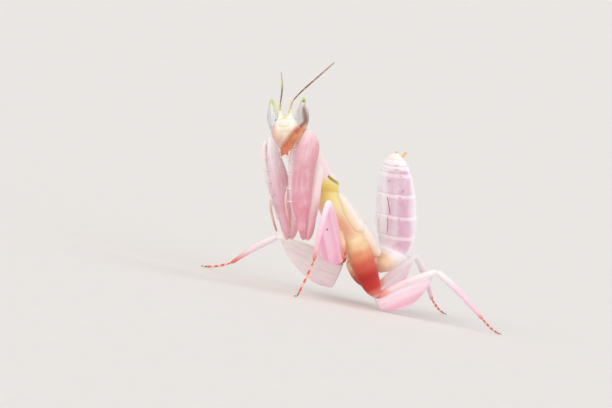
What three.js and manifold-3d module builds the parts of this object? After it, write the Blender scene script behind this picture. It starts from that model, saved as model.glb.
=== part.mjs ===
// Orchid mantis, a late nymph with wing pads, as a still life-size model.
// Millimetres, +Z up, standing on the plane z = 0. The animal looks along -Y and its left side is +X.
// Every part is a rounded body swept along a short path of its own, then trimmed clear of its neighbours.
import * as THREE from "three";
import { mergeVertices } from "three/addons/utils/BufferGeometryUtils.js";
import Module from "manifold-3d";

const wasm = await Module();
wasm.setup();

const at = (x, y, z) => new THREE.Vector3(x, y, z);
const degrees = THREE.MathUtils.degToRad;

// ---- Driving dimensions -------------------------------------------------------------------------

const JOINT_GAP = 0.1; // clearance between a part and the neighbour it is trimmed by
const FLOOR = 0; // level of the soles

// The head is about 7 mm across its eyes and 9 mm from eye tip to chin.
const HEAD_CENTRE = at(1.2, -23.65, 26.0);
const HEAD_TURN = 36; // degrees towards its left
const HEAD_TILT = -16; // degrees towards its right shoulder
const HEAD_NOD = -7; // degrees, face lifted
const EYE_TIP = at(2.8, 0.05, 4.45);
const CHIN = at(0, -0.85, -4.5);
const CROWN = at(0, 0.15, 1.8);
const SOCKET_SPREAD = 0.85; // from the middle of the face to an antenna

// The trunk slopes down to the rear, and the abdomen is curled up over its end.
const PRONOTUM_PATH = [at(0, -20.3, 23.9), at(0, -17.4, 21.6), at(0, -14.6, 18.9), at(0, -11.3, 17.2)];
const THORAX_PATH = [at(0, -14.3, 17.6), at(0, -9.8, 13.5), at(0, -4.9, 9.4), at(0, -1.9, 7.2)];
const ABDOMEN_PATH = [
  at(0, -2.6, 7.7),
  at(0, 0.3, 7.5),
  at(0, 1.8, 9.9),
  at(0, 1.2, 13.2),
  at(0, 0.2, 17),
  at(0, -1.1, 21.3),
  at(0, -2.1, 24.9),
];
const THORAX_CUT = 0.52; // share of the thorax path where its two rings meet
const ABDOMEN_CUTS = [0.2, 0.36, 0.5, 0.64, 0.79]; // shares of its length where one ring ends
const ABDOMEN_TWIST = 20; // degrees, its back turned towards the left

const PAD_THICKNESS = 0.55; // wing pads
const PAD_RISE = 0.3; // how far they stand out of the thorax
const PAD_WIDTH = 3.2;
const PAD_SPACING = 0.4; // between left and right pads along the back
const PRISM = 6; // length of the tool that gives a pad its outline
const FORE_TIBIA_LENGTH = 9.4;
const SPINE_LENGTH = 0.5; // beyond the femur's edge
const SPINE_PLACES = [0.36, 0.47, 0.59, 0.7, 0.81]; // shares of the femur's length
const SPINE_RADIUS = 0.28;
const SPINE_SPLAY = 0.3; // how far a tip stands aside of its root
const LOBE_THICKNESS = 0.6;
const TARSUS_RADIUS = 0.26;
const FOOT_RADIUS = 0.38;

const SKIN = {
  white: 0xf4ecef,
  cream: 0xf3e4d2,
  rose: 0xecc3cc,
  pink: 0xe9b0c0,
  yellow: 0xe6cf86,
  orange: 0xdf9c66,
  mauve: 0xe0cbda,
  brown: 0x7a6a5c,
};

// ---- Shaping ------------------------------------------------------------------------------------

/** The smooth line through the points of a path. */
function lineThrough(path) {
  return new THREE.CatmullRomCurve3(path, false, "centripetal");
}

/** A smooth function of t through rows of [t, value, value, ...]. */
function smooth(rows) {
  const times = rows.map((row) => row[0]);
  const values = rows.flatMap((row) => row.slice(1));
  const curve = new THREE.CubicInterpolant(times, values, rows[0].length - 1);
  return (t) => Array.from(curve.evaluate(t));
}

/**
 * A closed body along a path: the rings of a sphere are moved onto the path.
 * girths: rows of [t, half width, height above the path, depth below it].
 * side: the direction of the width, or a function of t that gives it.
 * ends: how blunt the first and last end are, as the degrees of the sphere that round them off.
 */
function sweep(path, girths, { side = at(1, 0, 0), sides = 12, steps = 12, ends = [50, 50] } = {}) {
  const curve = lineThrough(path);
  const girth = smooth(girths);
  const sideAt = typeof side === "function" ? side : () => side;
  return (grow) => {
    const ball = new THREE.SphereGeometry(1, sides, steps);
    const position = ball.attributes.position;
    const p = at(0, 0, 0);
    for (let i = 0; i < position.count; i++) {
      p.fromBufferAttribute(position, i);
      const t = THREE.MathUtils.clamp((1 + p.y) / 2, 0, 1);
      const ring = Math.hypot(p.x, p.z) || 1;
      const fromEnd = Math.acos(Math.min(1, Math.abs(p.y)));
      const bluntness = degrees(p.y > 0 ? ends[1] : ends[0]);
      const round = Math.sin((Math.PI / 2) * Math.min(1, fromEnd / bluntness));
      const along = curve.getTangentAt(t);
      const across = sideAt(t).clone();
      across.addScaledVector(along, -across.dot(along)).normalize();
      const upward = across.clone().cross(along);
      const [wide, above, below] = girth(t);
      const width = (wide + grow) * round * (p.x / ring);
      const height = ((p.z > 0 ? above : below) + grow) * round * (p.z / ring);
      const end = grow * p.y;
      p.copy(curve.getPointAt(t)).addScaledVector(along, end);
      p.addScaledVector(across, width).addScaledVector(upward, height);
      position.setXYZ(i, p.x, p.y, p.z);
    }
    return solid(ball);
  };
}

/** A closed three.js geometry as a solid that can be joined and cut. */
function solid(geometry) {
  const bare = geometry.clone();
  bare.deleteAttribute("normal");
  bare.deleteAttribute("uv");
  const merged = mergeVertices(bare, 1e-4);
  const vertProperties = new Float32Array(merged.attributes.position.array);
  const triVerts = new Uint32Array(merged.index.array);
  return new wasm.Manifold(new wasm.Mesh({ numProp: 3, vertProperties, triVerts }));
}

/** A pointed cone from root to tip. */
function spike(root, tip, radius) {
  const length = root.distanceTo(tip);
  const cone = new THREE.ConeGeometry(radius, length, 4);
  const turn = new THREE.Quaternion().setFromUnitVectors(at(0, 1, 0), tip.clone().sub(root).normalize());
  cone.applyQuaternion(turn);
  cone.translate(...root.clone().lerp(tip, 0.5).toArray());
  return solid(cone);
}

/** The largest single body of a solid, without the slivers that a cut can leave. */
function largest(shape) {
  const bodies = shape.decompose();
  return bodies.reduce((best, body) => (body.volume() > best.volume() ? body : best));
}

/** The part of a direction that stands square to an axis. */
function squareTo(axis, direction) {
  const unit = axis.clone().normalize();
  return direction.clone().addScaledVector(unit, -direction.dot(unit)).normalize();
}

// ---- Parts and their fitting --------------------------------------------------------------------

const shapes = new Map(); // name of a part: its untrimmed shape, grown by a number of millimetres
const mantis = new THREE.Group();
const headGroup = new THREE.Group();
headGroup.position.copy(HEAD_CENTRE);
headGroup.rotation.set(degrees(HEAD_NOD), degrees(HEAD_TILT), degrees(HEAD_TURN), "ZYX");
headGroup.updateMatrix();
mantis.add(headGroup);

/** Adds a part, trimmed clear of neighbours that are named by their parts. */
function addPart(name, shape, colour, neighbours = [], group = mantis) {
  let body = shape(0);
  for (const neighbour of neighbours) body = body.subtract(shapes.get(neighbour)(JOINT_GAP));
  body = largest(body);
  const { vertProperties, triVerts } = body.getMesh();
  const geometry = new THREE.BufferGeometry();
  geometry.setAttribute("position", new THREE.BufferAttribute(new Float32Array(vertProperties), 3));
  geometry.setIndex(new THREE.BufferAttribute(new Uint32Array(triVerts), 1));
  geometry.computeVertexNormals();
  const material = new THREE.MeshStandardMaterial({ color: colour, roughness: 0.5, metalness: 0 });
  const mesh = new THREE.Mesh(geometry, material);
  mesh.name = name;
  shapes.set(name, shape);
  group.add(mesh);
}

/** Cuts a shape across by two planes, square to its path at two shares of the length. */
function lengthOf(shape, path, from, to) {
  const curve = lineThrough(path);
  return (grow) => {
    let body = shape(grow);
    if (from > 0) body = body.trimByPlane(...planeAt(curve, from, 1, JOINT_GAP / 2 - grow));
    if (to < 1) body = body.trimByPlane(...planeAt(curve, to, -1, JOINT_GAP / 2 - grow));
    return body;
  };
}

/** A plane square to a curve, as the normal of the side that is kept and its offset. */
function planeAt(curve, t, keep, inset) {
  const normal = curve.getTangentAt(t).multiplyScalar(keep);
  const offset = normal.dot(curve.getPointAt(t)) + inset;
  return [normal.toArray(), offset];
}

// ---- Head ---------------------------------------------------------------------------------------

function headCapsule() {
  const capsule = sweep(
    [CHIN, at(0, -0.25, -2.4), at(0, 0, 0), CROWN],
    [
      [0, 0.35, 0.3, 0.3],
      [0.1, 0.8, 0.55, 0.6],
      [0.3, 1.75, 0.9, 1.1],
      [0.55, 2.65, 1.15, 1.6],
      [0.72, 2.6, 1.15, 1.65],
      [0.88, 1.9, 0.95, 1.35],
      [1, 1.0, 0.5, 0.8],
    ],
    { sides: 12, steps: 11, ends: [40, 50] },
  );
  const knob = { sides: 6, steps: 4 };
  const socketGirths = [
    [0, 0.5, 0.5, 0.5],
    [1, 0.3, 0.3, 0.3],
  ];
  const socket = (x) => sweep([at(x, -0.45, 1.2), at(x, -0.95, 2.5)], socketGirths, knob);
  const tubercleGirths = [
    [0, 0.6, 0.5, 0.5],
    [1, 0.3, 0.25, 0.25],
  ];
  const tubercle = sweep([at(0, -0.4, 0.7), at(0, -0.7, 1.55)], tubercleGirths, knob);
  return (grow) => {
    const body = capsule(grow).add(tubercle(grow));
    return body.add(socket(SOCKET_SPREAD)(grow)).add(socket(-SOCKET_SPREAD)(grow));
  };
}

function eye(sign) {
  return sweep(
    [at(sign * 2.15, 0.45, -1.3), at(sign * 2.38, 0.42, 1.2), at(sign * EYE_TIP.x, EYE_TIP.y, EYE_TIP.z)],
    [
      [0, 0.4, 0.6, 0.5],
      [0.25, 0.9, 1.15, 1.1],
      [0.48, 1.08, 1.3, 1.2],
      [0.68, 0.86, 1.05, 0.9],
      [0.87, 0.46, 0.5, 0.45],
      [1, 0.18, 0.2, 0.2],
    ],
    { sides: 10, steps: 9, ends: [45, 35] },
  );
}

function antenna(path) {
  const girths = [
    [0, 0.27, 0.27, 0.27],
    [1, 0.25, 0.25, 0.25],
  ];
  return sweep(path, girths, { sides: 6, steps: 10, ends: [30, 40] });
}

function mouthparts() {
  const labrumGirths = [
    [0, 0.5, 0.25, 0.25],
    [1, 0.4, 0.25, 0.3],
  ];
  const labrum = sweep([at(0, -1.15, -3.7), at(0, -1.2, -4.95)], labrumGirths, { sides: 6, steps: 4 });
  const palpGirths = [
    [0, 0.26, 0.26, 0.26],
    [1, 0.25, 0.25, 0.25],
  ];
  const palp = (sign) => {
    const path = [at(sign * 0.3, -0.6, -4.4), at(sign * 0.55, -0.8, -5.0), at(sign * 0.35, -1.1, -5.35)];
    return sweep(path, palpGirths, { sides: 5, steps: 5 });
  };
  return (grow) => labrum(grow).add(palp(1)(grow)).add(palp(-1)(grow));
}

addPart("eye_left", eye(1), SKIN.white, [], headGroup);
addPart("eye_right", eye(-1), SKIN.white, [], headGroup);
addPart("head", headCapsule(), SKIN.cream, ["eye_left", "eye_right"], headGroup);
addPart("mouthparts", mouthparts(), SKIN.orange, ["head"], headGroup);
addPart(
  "antenna_left",
  antenna([
    at(SOCKET_SPREAD, -1.0, 2.45),
    at(1.36, -1.2, 3.6),
    at(2.45, -0.9, 5.0),
    at(4.1, -0.3, 6.65),
    at(7.4, 1.5, 10.1),
  ]),
  SKIN.brown,
  ["head", "eye_left"],
  headGroup,
);
addPart(
  "antenna_right",
  antenna([
    at(-SOCKET_SPREAD, -1.0, 2.45),
    at(-0.4, -1.9, 3.5),
    at(0.1, -2.8, 4.2),
    at(1.4, -5.6, 5.85),
    at(2.3, -8.4, 7.4),
  ]),
  SKIN.brown,
  ["head", "eye_right"],
  headGroup,
);
const HEAD_PIECES = ["head", "eye_left", "eye_right", "mouthparts"];
const headInPlace = HEAD_PIECES.map((name) => `${name} in place`);
HEAD_PIECES.forEach((name, i) => {
  shapes.set(headInPlace[i], (grow) => shapes.get(name)(grow).transform(headGroup.matrix.elements));
});

// ---- Trunk --------------------------------------------------------------------------------------

const pronotum = sweep(
  PRONOTUM_PATH,
  [
    [0, 1.3, 1.2, 0.9],
    [0.15, 1.9, 1.7, 1.4],
    [0.4, 2.45, 1.95, 1.9],
    [0.65, 2.3, 1.9, 1.9],
    [0.85, 2.1, 1.6, 1.2],
    [1, 1.4, 0.9, 0.6],
  ],
  { sides: 14, steps: 11, ends: [45, 50] },
);
const thorax = sweep(
  THORAX_PATH,
  [
    [0, 1.4, 1.3, 1.5],
    [0.2, 2.2, 2.1, 2.2],
    [0.5, 2.75, 2.55, 2.6],
    [0.8, 2.8, 2.6, 2.8],
    [1, 2.1, 1.9, 2.0],
  ],
  { sides: 12, steps: 10, ends: [45, 45] },
);
const neck = sweep(
  [at(0, -19.6, 23.3), at(0.1, -21.1, 24.7), at(0.3, -22.6, 25.8)],
  [
    [0, 1.1, 0.9, 0.9],
    [1, 0.8, 0.8, 0.8],
  ],
  { sides: 8, steps: 4, ends: [40, 30] },
);

/** A wing pad: a leaf-shaped piece of a thin shell, half sunk in the flank of the thorax. */
function wingPad(sign, from, to) {
  const curve = lineThrough(THORAX_PATH);
  const start = curve.getPointAt(from);
  const end = curve.getPointAt(to);
  const along = end.clone().sub(start);
  const length = along.length();
  along.normalize();
  const outward = squareTo(along, at(sign * 0.86, 0.3, 0.4));
  const across = along.clone().cross(outward).multiplyScalar(-sign);
  const normal = along.clone().cross(across);
  const basis = new THREE.Matrix4().makeBasis(along, across, normal);
  const inner = PAD_RISE - PAD_THICKNESS;
  return (grow) => {
    const leaf = new THREE.Shape();
    const tip = PAD_WIDTH * 0.36 + grow;
    leaf.moveTo(-grow, -PAD_WIDTH * 0.3 - grow);
    leaf.quadraticCurveTo(length * 0.5, -PAD_WIDTH * 0.55 - grow, length + grow - tip, -tip);
    leaf.absarc(length + grow - tip, 0, tip, -Math.PI / 2, Math.PI / 2, false);
    leaf.quadraticCurveTo(length * 0.5, PAD_WIDTH * 0.85 + grow, -grow, PAD_WIDTH * 0.7 + grow);
    leaf.closePath();
    const prism = new THREE.ExtrudeGeometry(leaf, { depth: PRISM, bevelEnabled: false, curveSegments: 2 });
    prism.applyMatrix4(basis);
    if (normal.dot(outward) < 0) prism.translate(...outward.clone().multiplyScalar(PRISM).toArray());
    prism.translate(...start.toArray());
    const shell = thorax(PAD_RISE + grow).subtract(thorax(inner - grow));
    return shell.intersect(solid(prism)).trimByPlane([sign, 0, 0], PAD_SPACING / 2 - grow);
  };
}

/** The direction of the abdomen's width, which turns as the abdomen rises. */
function abdomenSide(t) {
  const turned = degrees(ABDOMEN_TWIST) * THREE.MathUtils.smoothstep(t, 0.1, 0.5);
  return at(1, 0, 0).applyAxisAngle(at(0, 0, 1), turned);
}

const abdomen = sweep(
  ABDOMEN_PATH,
  [
    [0, 1.7, 1.2, 1.2],
    [0.12, 2.4, 1.6, 1.6],
    [0.3, 3.5, 1.7, 1.9],
    [0.5, 4.0, 1.75, 1.9],
    [0.66, 3.85, 1.7, 1.8],
    [0.82, 3.2, 1.5, 1.6],
    [0.93, 2.3, 1.15, 1.25],
    [1, 1.75, 0.95, 1.05],
  ],
  { side: abdomenSide, sides: 13, steps: 21, ends: [40, 40] },
);

addPart("pronotum", pronotum, SKIN.rose);
addPart("neck", neck, SKIN.cream, ["pronotum", ...headInPlace]);
shapes.set("thorax", thorax);
const SIDES = [["left", 1], ["right", -1]];
for (const [sideName, sign] of SIDES) {
  addPart(`forewing_pad_${sideName}`, wingPad(sign, 0.14, 0.62), SKIN.white, ["pronotum"]);
  addPart(`hindwing_pad_${sideName}`, wingPad(sign, 0.5, 0.97), SKIN.cream, [`forewing_pad_${sideName}`]);
}
const PADS = SIDES.flatMap(([sideName]) => [`forewing_pad_${sideName}`, `hindwing_pad_${sideName}`]);
addPart("mesothorax", lengthOf(thorax, THORAX_PATH, 0, THORAX_CUT), SKIN.yellow, ["pronotum", ...PADS]);
addPart("metathorax", lengthOf(thorax, THORAX_PATH, THORAX_CUT, 1), SKIN.orange, PADS);
[0, ...ABDOMEN_CUTS].forEach((from, i) => {
  const to = ABDOMEN_CUTS[i] ?? 1;
  addPart(`abdomen_${i + 1}`, lengthOf(abdomen, ABDOMEN_PATH, from, to), SKIN.mauve, ["thorax", ...PADS]);
});
for (const [sideName, sign] of SIDES) {
  const root = at(sign * 0.75 + 0.1, -1.9 + sign * 0.25, 23.85 + sign * 0.15);
  const tip = root.clone().add(at(sign * 0.22 + 0.12, 0.8, 1.45));
  const cercusGirths = [
    [0, 0.3, 0.3, 0.3],
    [1, 0.25, 0.25, 0.25],
  ];
  const cercus = sweep([root, tip], cercusGirths, { sides: 6, steps: 5 });
  addPart(`cercus_${sideName}`, cercus, SKIN.orange, ["abdomen_6"]);
}

// ---- Raptorial forelegs -------------------------------------------------------------------------

/**
 * Joints of the folded forelegs: coxa from the prothorax down, femur back up to the knee beside the head.
 * spined: the direction the femur's spined edge faces; depth: half of the femur's depth from back to spined edge;
 * kneeBack: how far its back bulges at the knee.
 */
const FORELEGS = {
  left: {
    coxa: [at(1.9, -17.3, 21.2), at(2.7, -16.9, 15.5), at(3.1, -16.4, 8.9)],
    femur: [at(3.1, -17.1, 8.9), at(3.0, -19.2, 14.6), at(3.0, -20.3, 19.5), at(3.1, -21.1, 26.3)],
    spined: at(-0.4, -0.92, -0.2),
    depth: 2.0,
    kneeBack: 1.22,
  },
  right: {
    coxa: [at(-1.8, -17.2, 20.6), at(-2.4, -16.6, 14.5), at(-2.6, -15.8, 8.1)],
    femur: [at(-2.6, -16.5, 8.0), at(-2.9, -19.1, 14.4), at(-3.15, -21.25, 18.7), at(-3.4, -23.3, 23.45)],
    spined: at(-0.22, -0.95, -0.25),
    depth: 1.75,
    kneeBack: 0.65,
  },
};

function foreCoxa({ coxa }) {
  const girths = [
    [0, 1.2, 1.5, 1.2],
    [0.3, 1.15, 1.25, 1.2],
    [0.8, 0.85, 0.95, 0.95],
    [1, 0.75, 0.8, 0.8],
  ];
  return sweep(coxa, girths, { sides: 8, steps: 6 });
}

/** The femur is deep and flat-sided, with a row of spines on each side of the groove for the tibia. */
function foreFemur({ femur, spined, depth, kneeBack }) {
  const curve = lineThrough(femur);
  const side = (t) => curve.getTangentAt(t).cross(spined);
  const rows = [
    [0, 0.6, 0.6, 0.6],
    [0.12, 0.75, 0.8, 0.8],
    [0.35, 1.05, depth * 0.88, depth * 0.8],
    [0.6, 1.15, depth, depth],
    [0.85, 1.1, depth * 0.85, depth * kneeBack],
    [1, 0.9, depth * 0.7, depth * kneeBack * 0.85],
  ];
  const blade = sweep(femur, rows, { side, sides: 10, steps: 12, ends: [40, 52] });
  const girth = smooth(rows);
  const spines = [];
  for (const row of [-1, 1]) {
    for (const t of SPINE_PLACES) {
      const point = curve.getPointAt(t);
      const across = squareTo(curve.getTangentAt(t), side(t));
      const toEdge = squareTo(curve.getTangentAt(t), spined);
      const [wide, above] = girth(t);
      const root = point.addScaledVector(across, row * wide * 0.5).addScaledVector(toEdge, above * 0.7);
      const tip = root.clone().addScaledVector(toEdge, SPINE_LENGTH + above * 0.3);
      spines.push(spike(root, tip.addScaledVector(across, row * SPINE_SPLAY), SPINE_RADIUS));
    }
  }
  return (grow) => spines.reduce((body, spine) => body.add(spine), blade(grow));
}

/** A point beside a line, at a reach towards the spined side. */
function beside(curve, spined, t, reach) {
  return curve.getPointAt(t).addScaledVector(squareTo(curve.getTangentAt(t), spined), reach);
}

/** The tibia folded along the spined edge, from the knee to its terminal hook. */
function foreTibia({ femur, spined, depth }) {
  const curve = lineThrough(femur);
  const share = FORE_TIBIA_LENGTH / curve.getLength();
  const path = [
    beside(curve, spined, 0.98, depth * 0.45),
    beside(curve, spined, 0.9, depth * 0.74),
    beside(curve, spined, 0.72, depth * 0.84),
    beside(curve, spined, 0.97 - share, depth * 0.78),
  ];
  const side = curve.getTangentAt(0.7).cross(spined);
  const girths = [
    [0, 0.55, 0.5, 0.5],
    [0.3, 0.5, 0.5, 0.5],
    [0.8, 0.42, 0.45, 0.45],
    [1, 0.28, 0.28, 0.28],
  ];
  return sweep(path, girths, { side, sides: 7, steps: 8, ends: [45, 35] });
}

function foreTarsus({ femur, spined, depth }) {
  const curve = lineThrough(femur);
  const share = FORE_TIBIA_LENGTH / curve.getLength();
  const top = 0.97 - share;
  const path = [
    beside(curve, spined, top + 0.01, depth + 0.25),
    beside(curve, spined, top - 0.1, depth + 0.35),
    beside(curve, spined, top - 0.22, depth + 0.1),
    beside(curve, spined, top - 0.32, depth - 0.2),
  ];
  const girths = [
    [0, 0.27, 0.27, 0.27],
    [1, 0.25, 0.25, 0.25],
  ];
  return sweep(path, girths, { sides: 6, steps: 7 });
}

for (const [sideName, leg] of Object.entries(FORELEGS)) {
  const name = (piece) => `foreleg_${sideName}_${piece}`;
  addPart(name("tibia"), foreTibia(leg), SKIN.white, headInPlace);
  addPart(name("femur"), foreFemur(leg), SKIN.rose, [name("tibia"), ...headInPlace, "pronotum", "neck"]);
  addPart(name("coxa"), foreCoxa(leg), SKIN.pink, ["pronotum", name("femur"), "mesothorax"]);
  addPart(name("tarsus"), foreTarsus(leg), SKIN.cream, [name("tibia"), name("femur")]);
}

// ---- Walking legs -------------------------------------------------------------------------------

/**
 * Joints of the walking legs: top of the coxa, hip, knee, ankle and sole.
 * lobe: depth of the femur's petal; fullest: where it is deepest, as a share of the way to the knee;
 * heel and taper: its share of that depth at the hip, and halfway from the fullest place to the knee.
 */
const WALKING_LEGS = {
  midleg_left: {
    coxa: [at(1.7, -10.9, 11.0), at(2.5, -9.6, 8.2), at(2.8, -9.0, 7.0)],
    coxaGirth: 1.25,
    hip: at(2.9, -9.1, 6.8),
    knee: at(5.8, -15.9, 16.0),
    ankle: at(6.5, -16.5, 6.1),
    sole: at(6.4, -18.0, 0.2),
    lobe: 5.0,
    fullest: 0.45,
    heel: 0.24,
    taper: 0.6,
  },
  midleg_right: {
    coxa: [at(-1.6, -8.3, 9.8), at(-2.3, -6.4, 7.2), at(-2.6, -5.3, 6.0)],
    coxaGirth: 1.25,
    hip: at(-2.7, -5.3, 5.8),
    knee: at(-9.2, -14.3, 7.6),
    ankle: at(-14.2, -18.6, 1.7),
    sole: at(-16.4, -22.0, 0.2),
    lobe: 4.6,
    fullest: 0.25,
    heel: 0.92,
    taper: 0.7,
  },
  hindleg_left: {
    coxa: [at(1.6, -7.4, 11.0), at(2.5, -4.6, 6.6), at(3.1, -1.3, 2.0)],
    coxaGirth: 2.0,
    hip: at(3.1, -1.7, 1.9),
    knee: at(5.9, 6.8, 8.1),
    ankle: at(9.0, 15.3, 2.1),
    sole: at(7.6, 19.7, 0.2),
    lobe: 3.4,
    fullest: 0.4,
    heel: 0.6,
    taper: 0.7,
  },
  hindleg_right: {
    coxa: [at(-1.8, -4.6, 7.0), at(-2.3, -1.8, 4.6), at(-2.5, 0.9, 2.9)],
    coxaGirth: 1.4,
    hip: at(-2.6, 1.4, 2.6),
    knee: at(-5.5, 9.5, 9.0),
    ankle: at(-8.8, 16.6, 2.1),
    sole: at(-10.6, 20.4, 0.2),
    lobe: 3.4,
    fullest: 0.5,
    heel: 0.6,
    taper: 0.7,
  },
};

function coxaShape({ coxa, coxaGirth: g }) {
  const girths = [
    [0, g * 0.85, g * 0.85, g * 0.85],
    [0.4, g, g * 0.95, g],
    [0.75, g * 0.78, g * 0.78, g * 0.82],
    [1, g * 0.45, g * 0.45, g * 0.45],
  ];
  return sweep(coxa, girths, { sides: 10, steps: 6 });
}

/** A slender shaft with a flat petal-shaped lobe below it. */
function femurShape({ hip, knee, ankle, lobe, fullest, heel, taper }) {
  const along = knee.clone().sub(hip);
  const downward = squareTo(along, ankle.clone().sub(knee));
  const side = along.clone().cross(downward).negate();
  const point = (share, drop) => hip.clone().lerp(knee, share).addScaledVector(downward, drop);
  const shaftGirths = [
    [0, 0.5, 0.5, 0.5],
    [0.3, 0.5, 0.6, 0.6],
    [1, 0.45, 0.5, 0.5],
  ];
  const shaftPath = [hip, point(0.5, -0.25), knee];
  const shaft = sweep(shaftPath, shaftGirths, { side, sides: 7, steps: 5, ends: [35, 35] });
  const half = LOBE_THICKNESS / 2;
  const petal = sweep(
    [point(-0.01, 0.1), point(0.45, 0.15), point(0.93, 0.1)],
    [
      [0, half, 0.3, lobe * heel],
      [fullest * 0.4, half, 0.3, (lobe * (1 + heel)) / 2],
      [fullest, half, 0.3, lobe],
      [fullest + (1 - fullest) * 0.55, half, 0.3, lobe * taper],
      [1, half, 0.3, lobe * 0.2],
    ],
    { side, sides: 8, steps: 11, ends: [26, 50] },
  );
  return (grow) => shaft(grow).add(petal(grow));
}

function tibiaShape({ knee, ankle, hip }) {
  const along = ankle.clone().sub(knee);
  const outward = squareTo(along, knee.clone().sub(hip));
  const side = along.clone().cross(outward);
  const middle = knee.clone().lerp(ankle, 0.45).addScaledVector(outward, 0.25);
  const girths = [
    [0, 0.45, 0.5, 0.5],
    [0.45, 0.4, 0.55, 0.5],
    [0.8, 0.32, 0.36, 0.36],
    [1, 0.28, 0.3, 0.3],
  ];
  return sweep([knee, middle, ankle], girths, { side, sides: 7, steps: 6, ends: [35, 35] });
}

/** The tarsus ends in a foot that is cut off level with the floor. */
function tarsusShape({ ankle, sole }) {
  const r = TARSUS_RADIUS;
  const bend = ankle.clone().lerp(sole, 0.55).add(at(0, 0, -0.2));
  const girths = [
    [0, r, r, r],
    [1, r, r, r],
  ];
  const shaft = sweep([ankle, bend, sole], girths, { sides: 6, steps: 5, ends: [35, 40] });
  const claws = new THREE.SphereGeometry(FOOT_RADIUS, 8, 5).translate(...sole.toArray());
  return (grow) => shaft(grow).add(solid(claws)).trimByPlane([0, 0, 1], FLOOR);
}

for (const [name, leg] of Object.entries(WALKING_LEGS)) {
  const body = ["thorax", ...PADS];
  addPart(`${name}_coxa`, coxaShape(leg), SKIN.orange, [...body, "abdomen_1", "abdomen_2"]);
  addPart(`${name}_femur`, femurShape(leg), SKIN.pink, [`${name}_coxa`, ...body, "abdomen_1", "abdomen_2"]);
  addPart(`${name}_tibia`, tibiaShape(leg), SKIN.white, [`${name}_femur`]);
  addPart(`${name}_tarsus`, tarsusShape(leg), SKIN.orange, [`${name}_tibia`]);
}

// ---- Origin: the middle of the footprint, on the floor -------------------------------------------

mantis.updateMatrixWorld(true);
const reach = new THREE.Box3().setFromObject(mantis, true);
const middle = reach.getCenter(at(0, 0, 0));
mantis.position.set(-middle.x, -middle.y, -reach.min.z);

export default mantis;
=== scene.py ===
"""The dressed orchid mantis: skins, eyes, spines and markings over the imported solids.

Lengths are millimetres in the maker's frame until a mesh is made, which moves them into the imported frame
in metres.
"""

import math

import bpy
import numpy as np
from mathutils import Euler, Matrix, Vector


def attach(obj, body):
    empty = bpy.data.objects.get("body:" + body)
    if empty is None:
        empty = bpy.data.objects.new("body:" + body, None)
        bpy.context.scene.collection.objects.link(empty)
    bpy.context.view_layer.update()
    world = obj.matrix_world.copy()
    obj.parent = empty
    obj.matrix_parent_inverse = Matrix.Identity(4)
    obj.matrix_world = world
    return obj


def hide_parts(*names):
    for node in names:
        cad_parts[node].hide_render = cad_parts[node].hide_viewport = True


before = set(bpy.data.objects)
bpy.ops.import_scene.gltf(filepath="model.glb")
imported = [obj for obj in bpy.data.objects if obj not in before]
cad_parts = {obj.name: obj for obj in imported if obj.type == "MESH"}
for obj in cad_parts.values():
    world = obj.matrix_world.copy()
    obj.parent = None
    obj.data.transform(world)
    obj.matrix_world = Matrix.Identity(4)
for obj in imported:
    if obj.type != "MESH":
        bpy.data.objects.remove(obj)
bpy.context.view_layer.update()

MM = 0.001
PACKED_ORIGIN = (3.820, 4.471, 0.0)  # where the maker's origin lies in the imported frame

# ---- Sizes --------------------------------------------------------------------------------------

HEAD_CENTRE = (1.2, -23.65, 26.0)
HEAD_TURN = 36  # degrees towards its left
HEAD_TILT = -16
HEAD_NOD = -7
EYE_TIP = (2.8, 0.05, 4.45)  # on the head's own axes, as are the next three
CHIN = (0, -0.85, -4.5)
CROWN = (0, 0.15, 1.8)
SOCKET_SPREAD = 0.85
ANTENNA_JOINTS = 46

PRONOTUM_PATH = [(0, -20.3, 23.9), (0, -17.4, 21.6), (0, -14.6, 18.9), (0, -11.3, 17.2)]
THORAX_PATH = [(0, -14.3, 17.6), (0, -9.8, 13.5), (0, -4.9, 9.4), (0, -1.9, 7.2)]
ABDOMEN_PATH = [
    (0, -2.6, 7.7),
    (0, 0.3, 7.5),
    (0, 1.8, 9.9),
    (0, 1.2, 13.2),
    (0, 0.2, 17),
    (0, -1.1, 21.3),
    (0, -2.1, 24.9),
]
ABDOMEN_TWIST = 20  # degrees
ABDOMEN_LENGTH = 21
PAD_RISE = 0.3
FORE_TIBIA_LENGTH = 9.4
SPINE_PLACES = (0.36, 0.47, 0.59, 0.7, 0.81)  # shares of the raptorial femur's length
SAW_TEETH = 60
LOBE_THICKNESS = 0.6
FOOT_RADIUS = 0.22

HEAD_GRAIN = 0.06  # how fine each skin is worked
MOUTH_GRAIN = 0.05
BODY_GRAIN = 0.14
LEG_GRAIN = 0.08
PORE_SIZE = 0.16
FACET_SIZE = 0.07

FORELEGS = {
    "left": {
        "coxa": [(1.9, -17.3, 21.2), (2.7, -16.9, 15.5), (3.1, -16.4, 8.9)],
        "femur": [(3.1, -17.1, 8.9), (3.0, -19.2, 14.6), (3.0, -20.3, 19.5), (3.1, -21.1, 26.3)],
        "spined": (-0.4, -0.92, -0.2),
        "depth": 2.0,
        "knee_back": 1.22,
        "saw_end": 0.85,
        "beside": ("head_skin", "eye_left_lens"),
    },
    "right": {
        "coxa": [(-1.8, -17.2, 20.6), (-2.4, -16.6, 14.5), (-2.6, -15.8, 8.1)],
        "femur": [(-2.6, -16.5, 8.0), (-2.9, -19.1, 14.4), (-3.15, -21.25, 18.7), (-3.4, -23.3, 23.45)],
        "spined": (-0.22, -0.95, -0.25),
        "depth": 1.75,
        "knee_back": 0.65,
        "saw_end": 0.93,
        "beside": (),
    },
}

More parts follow.
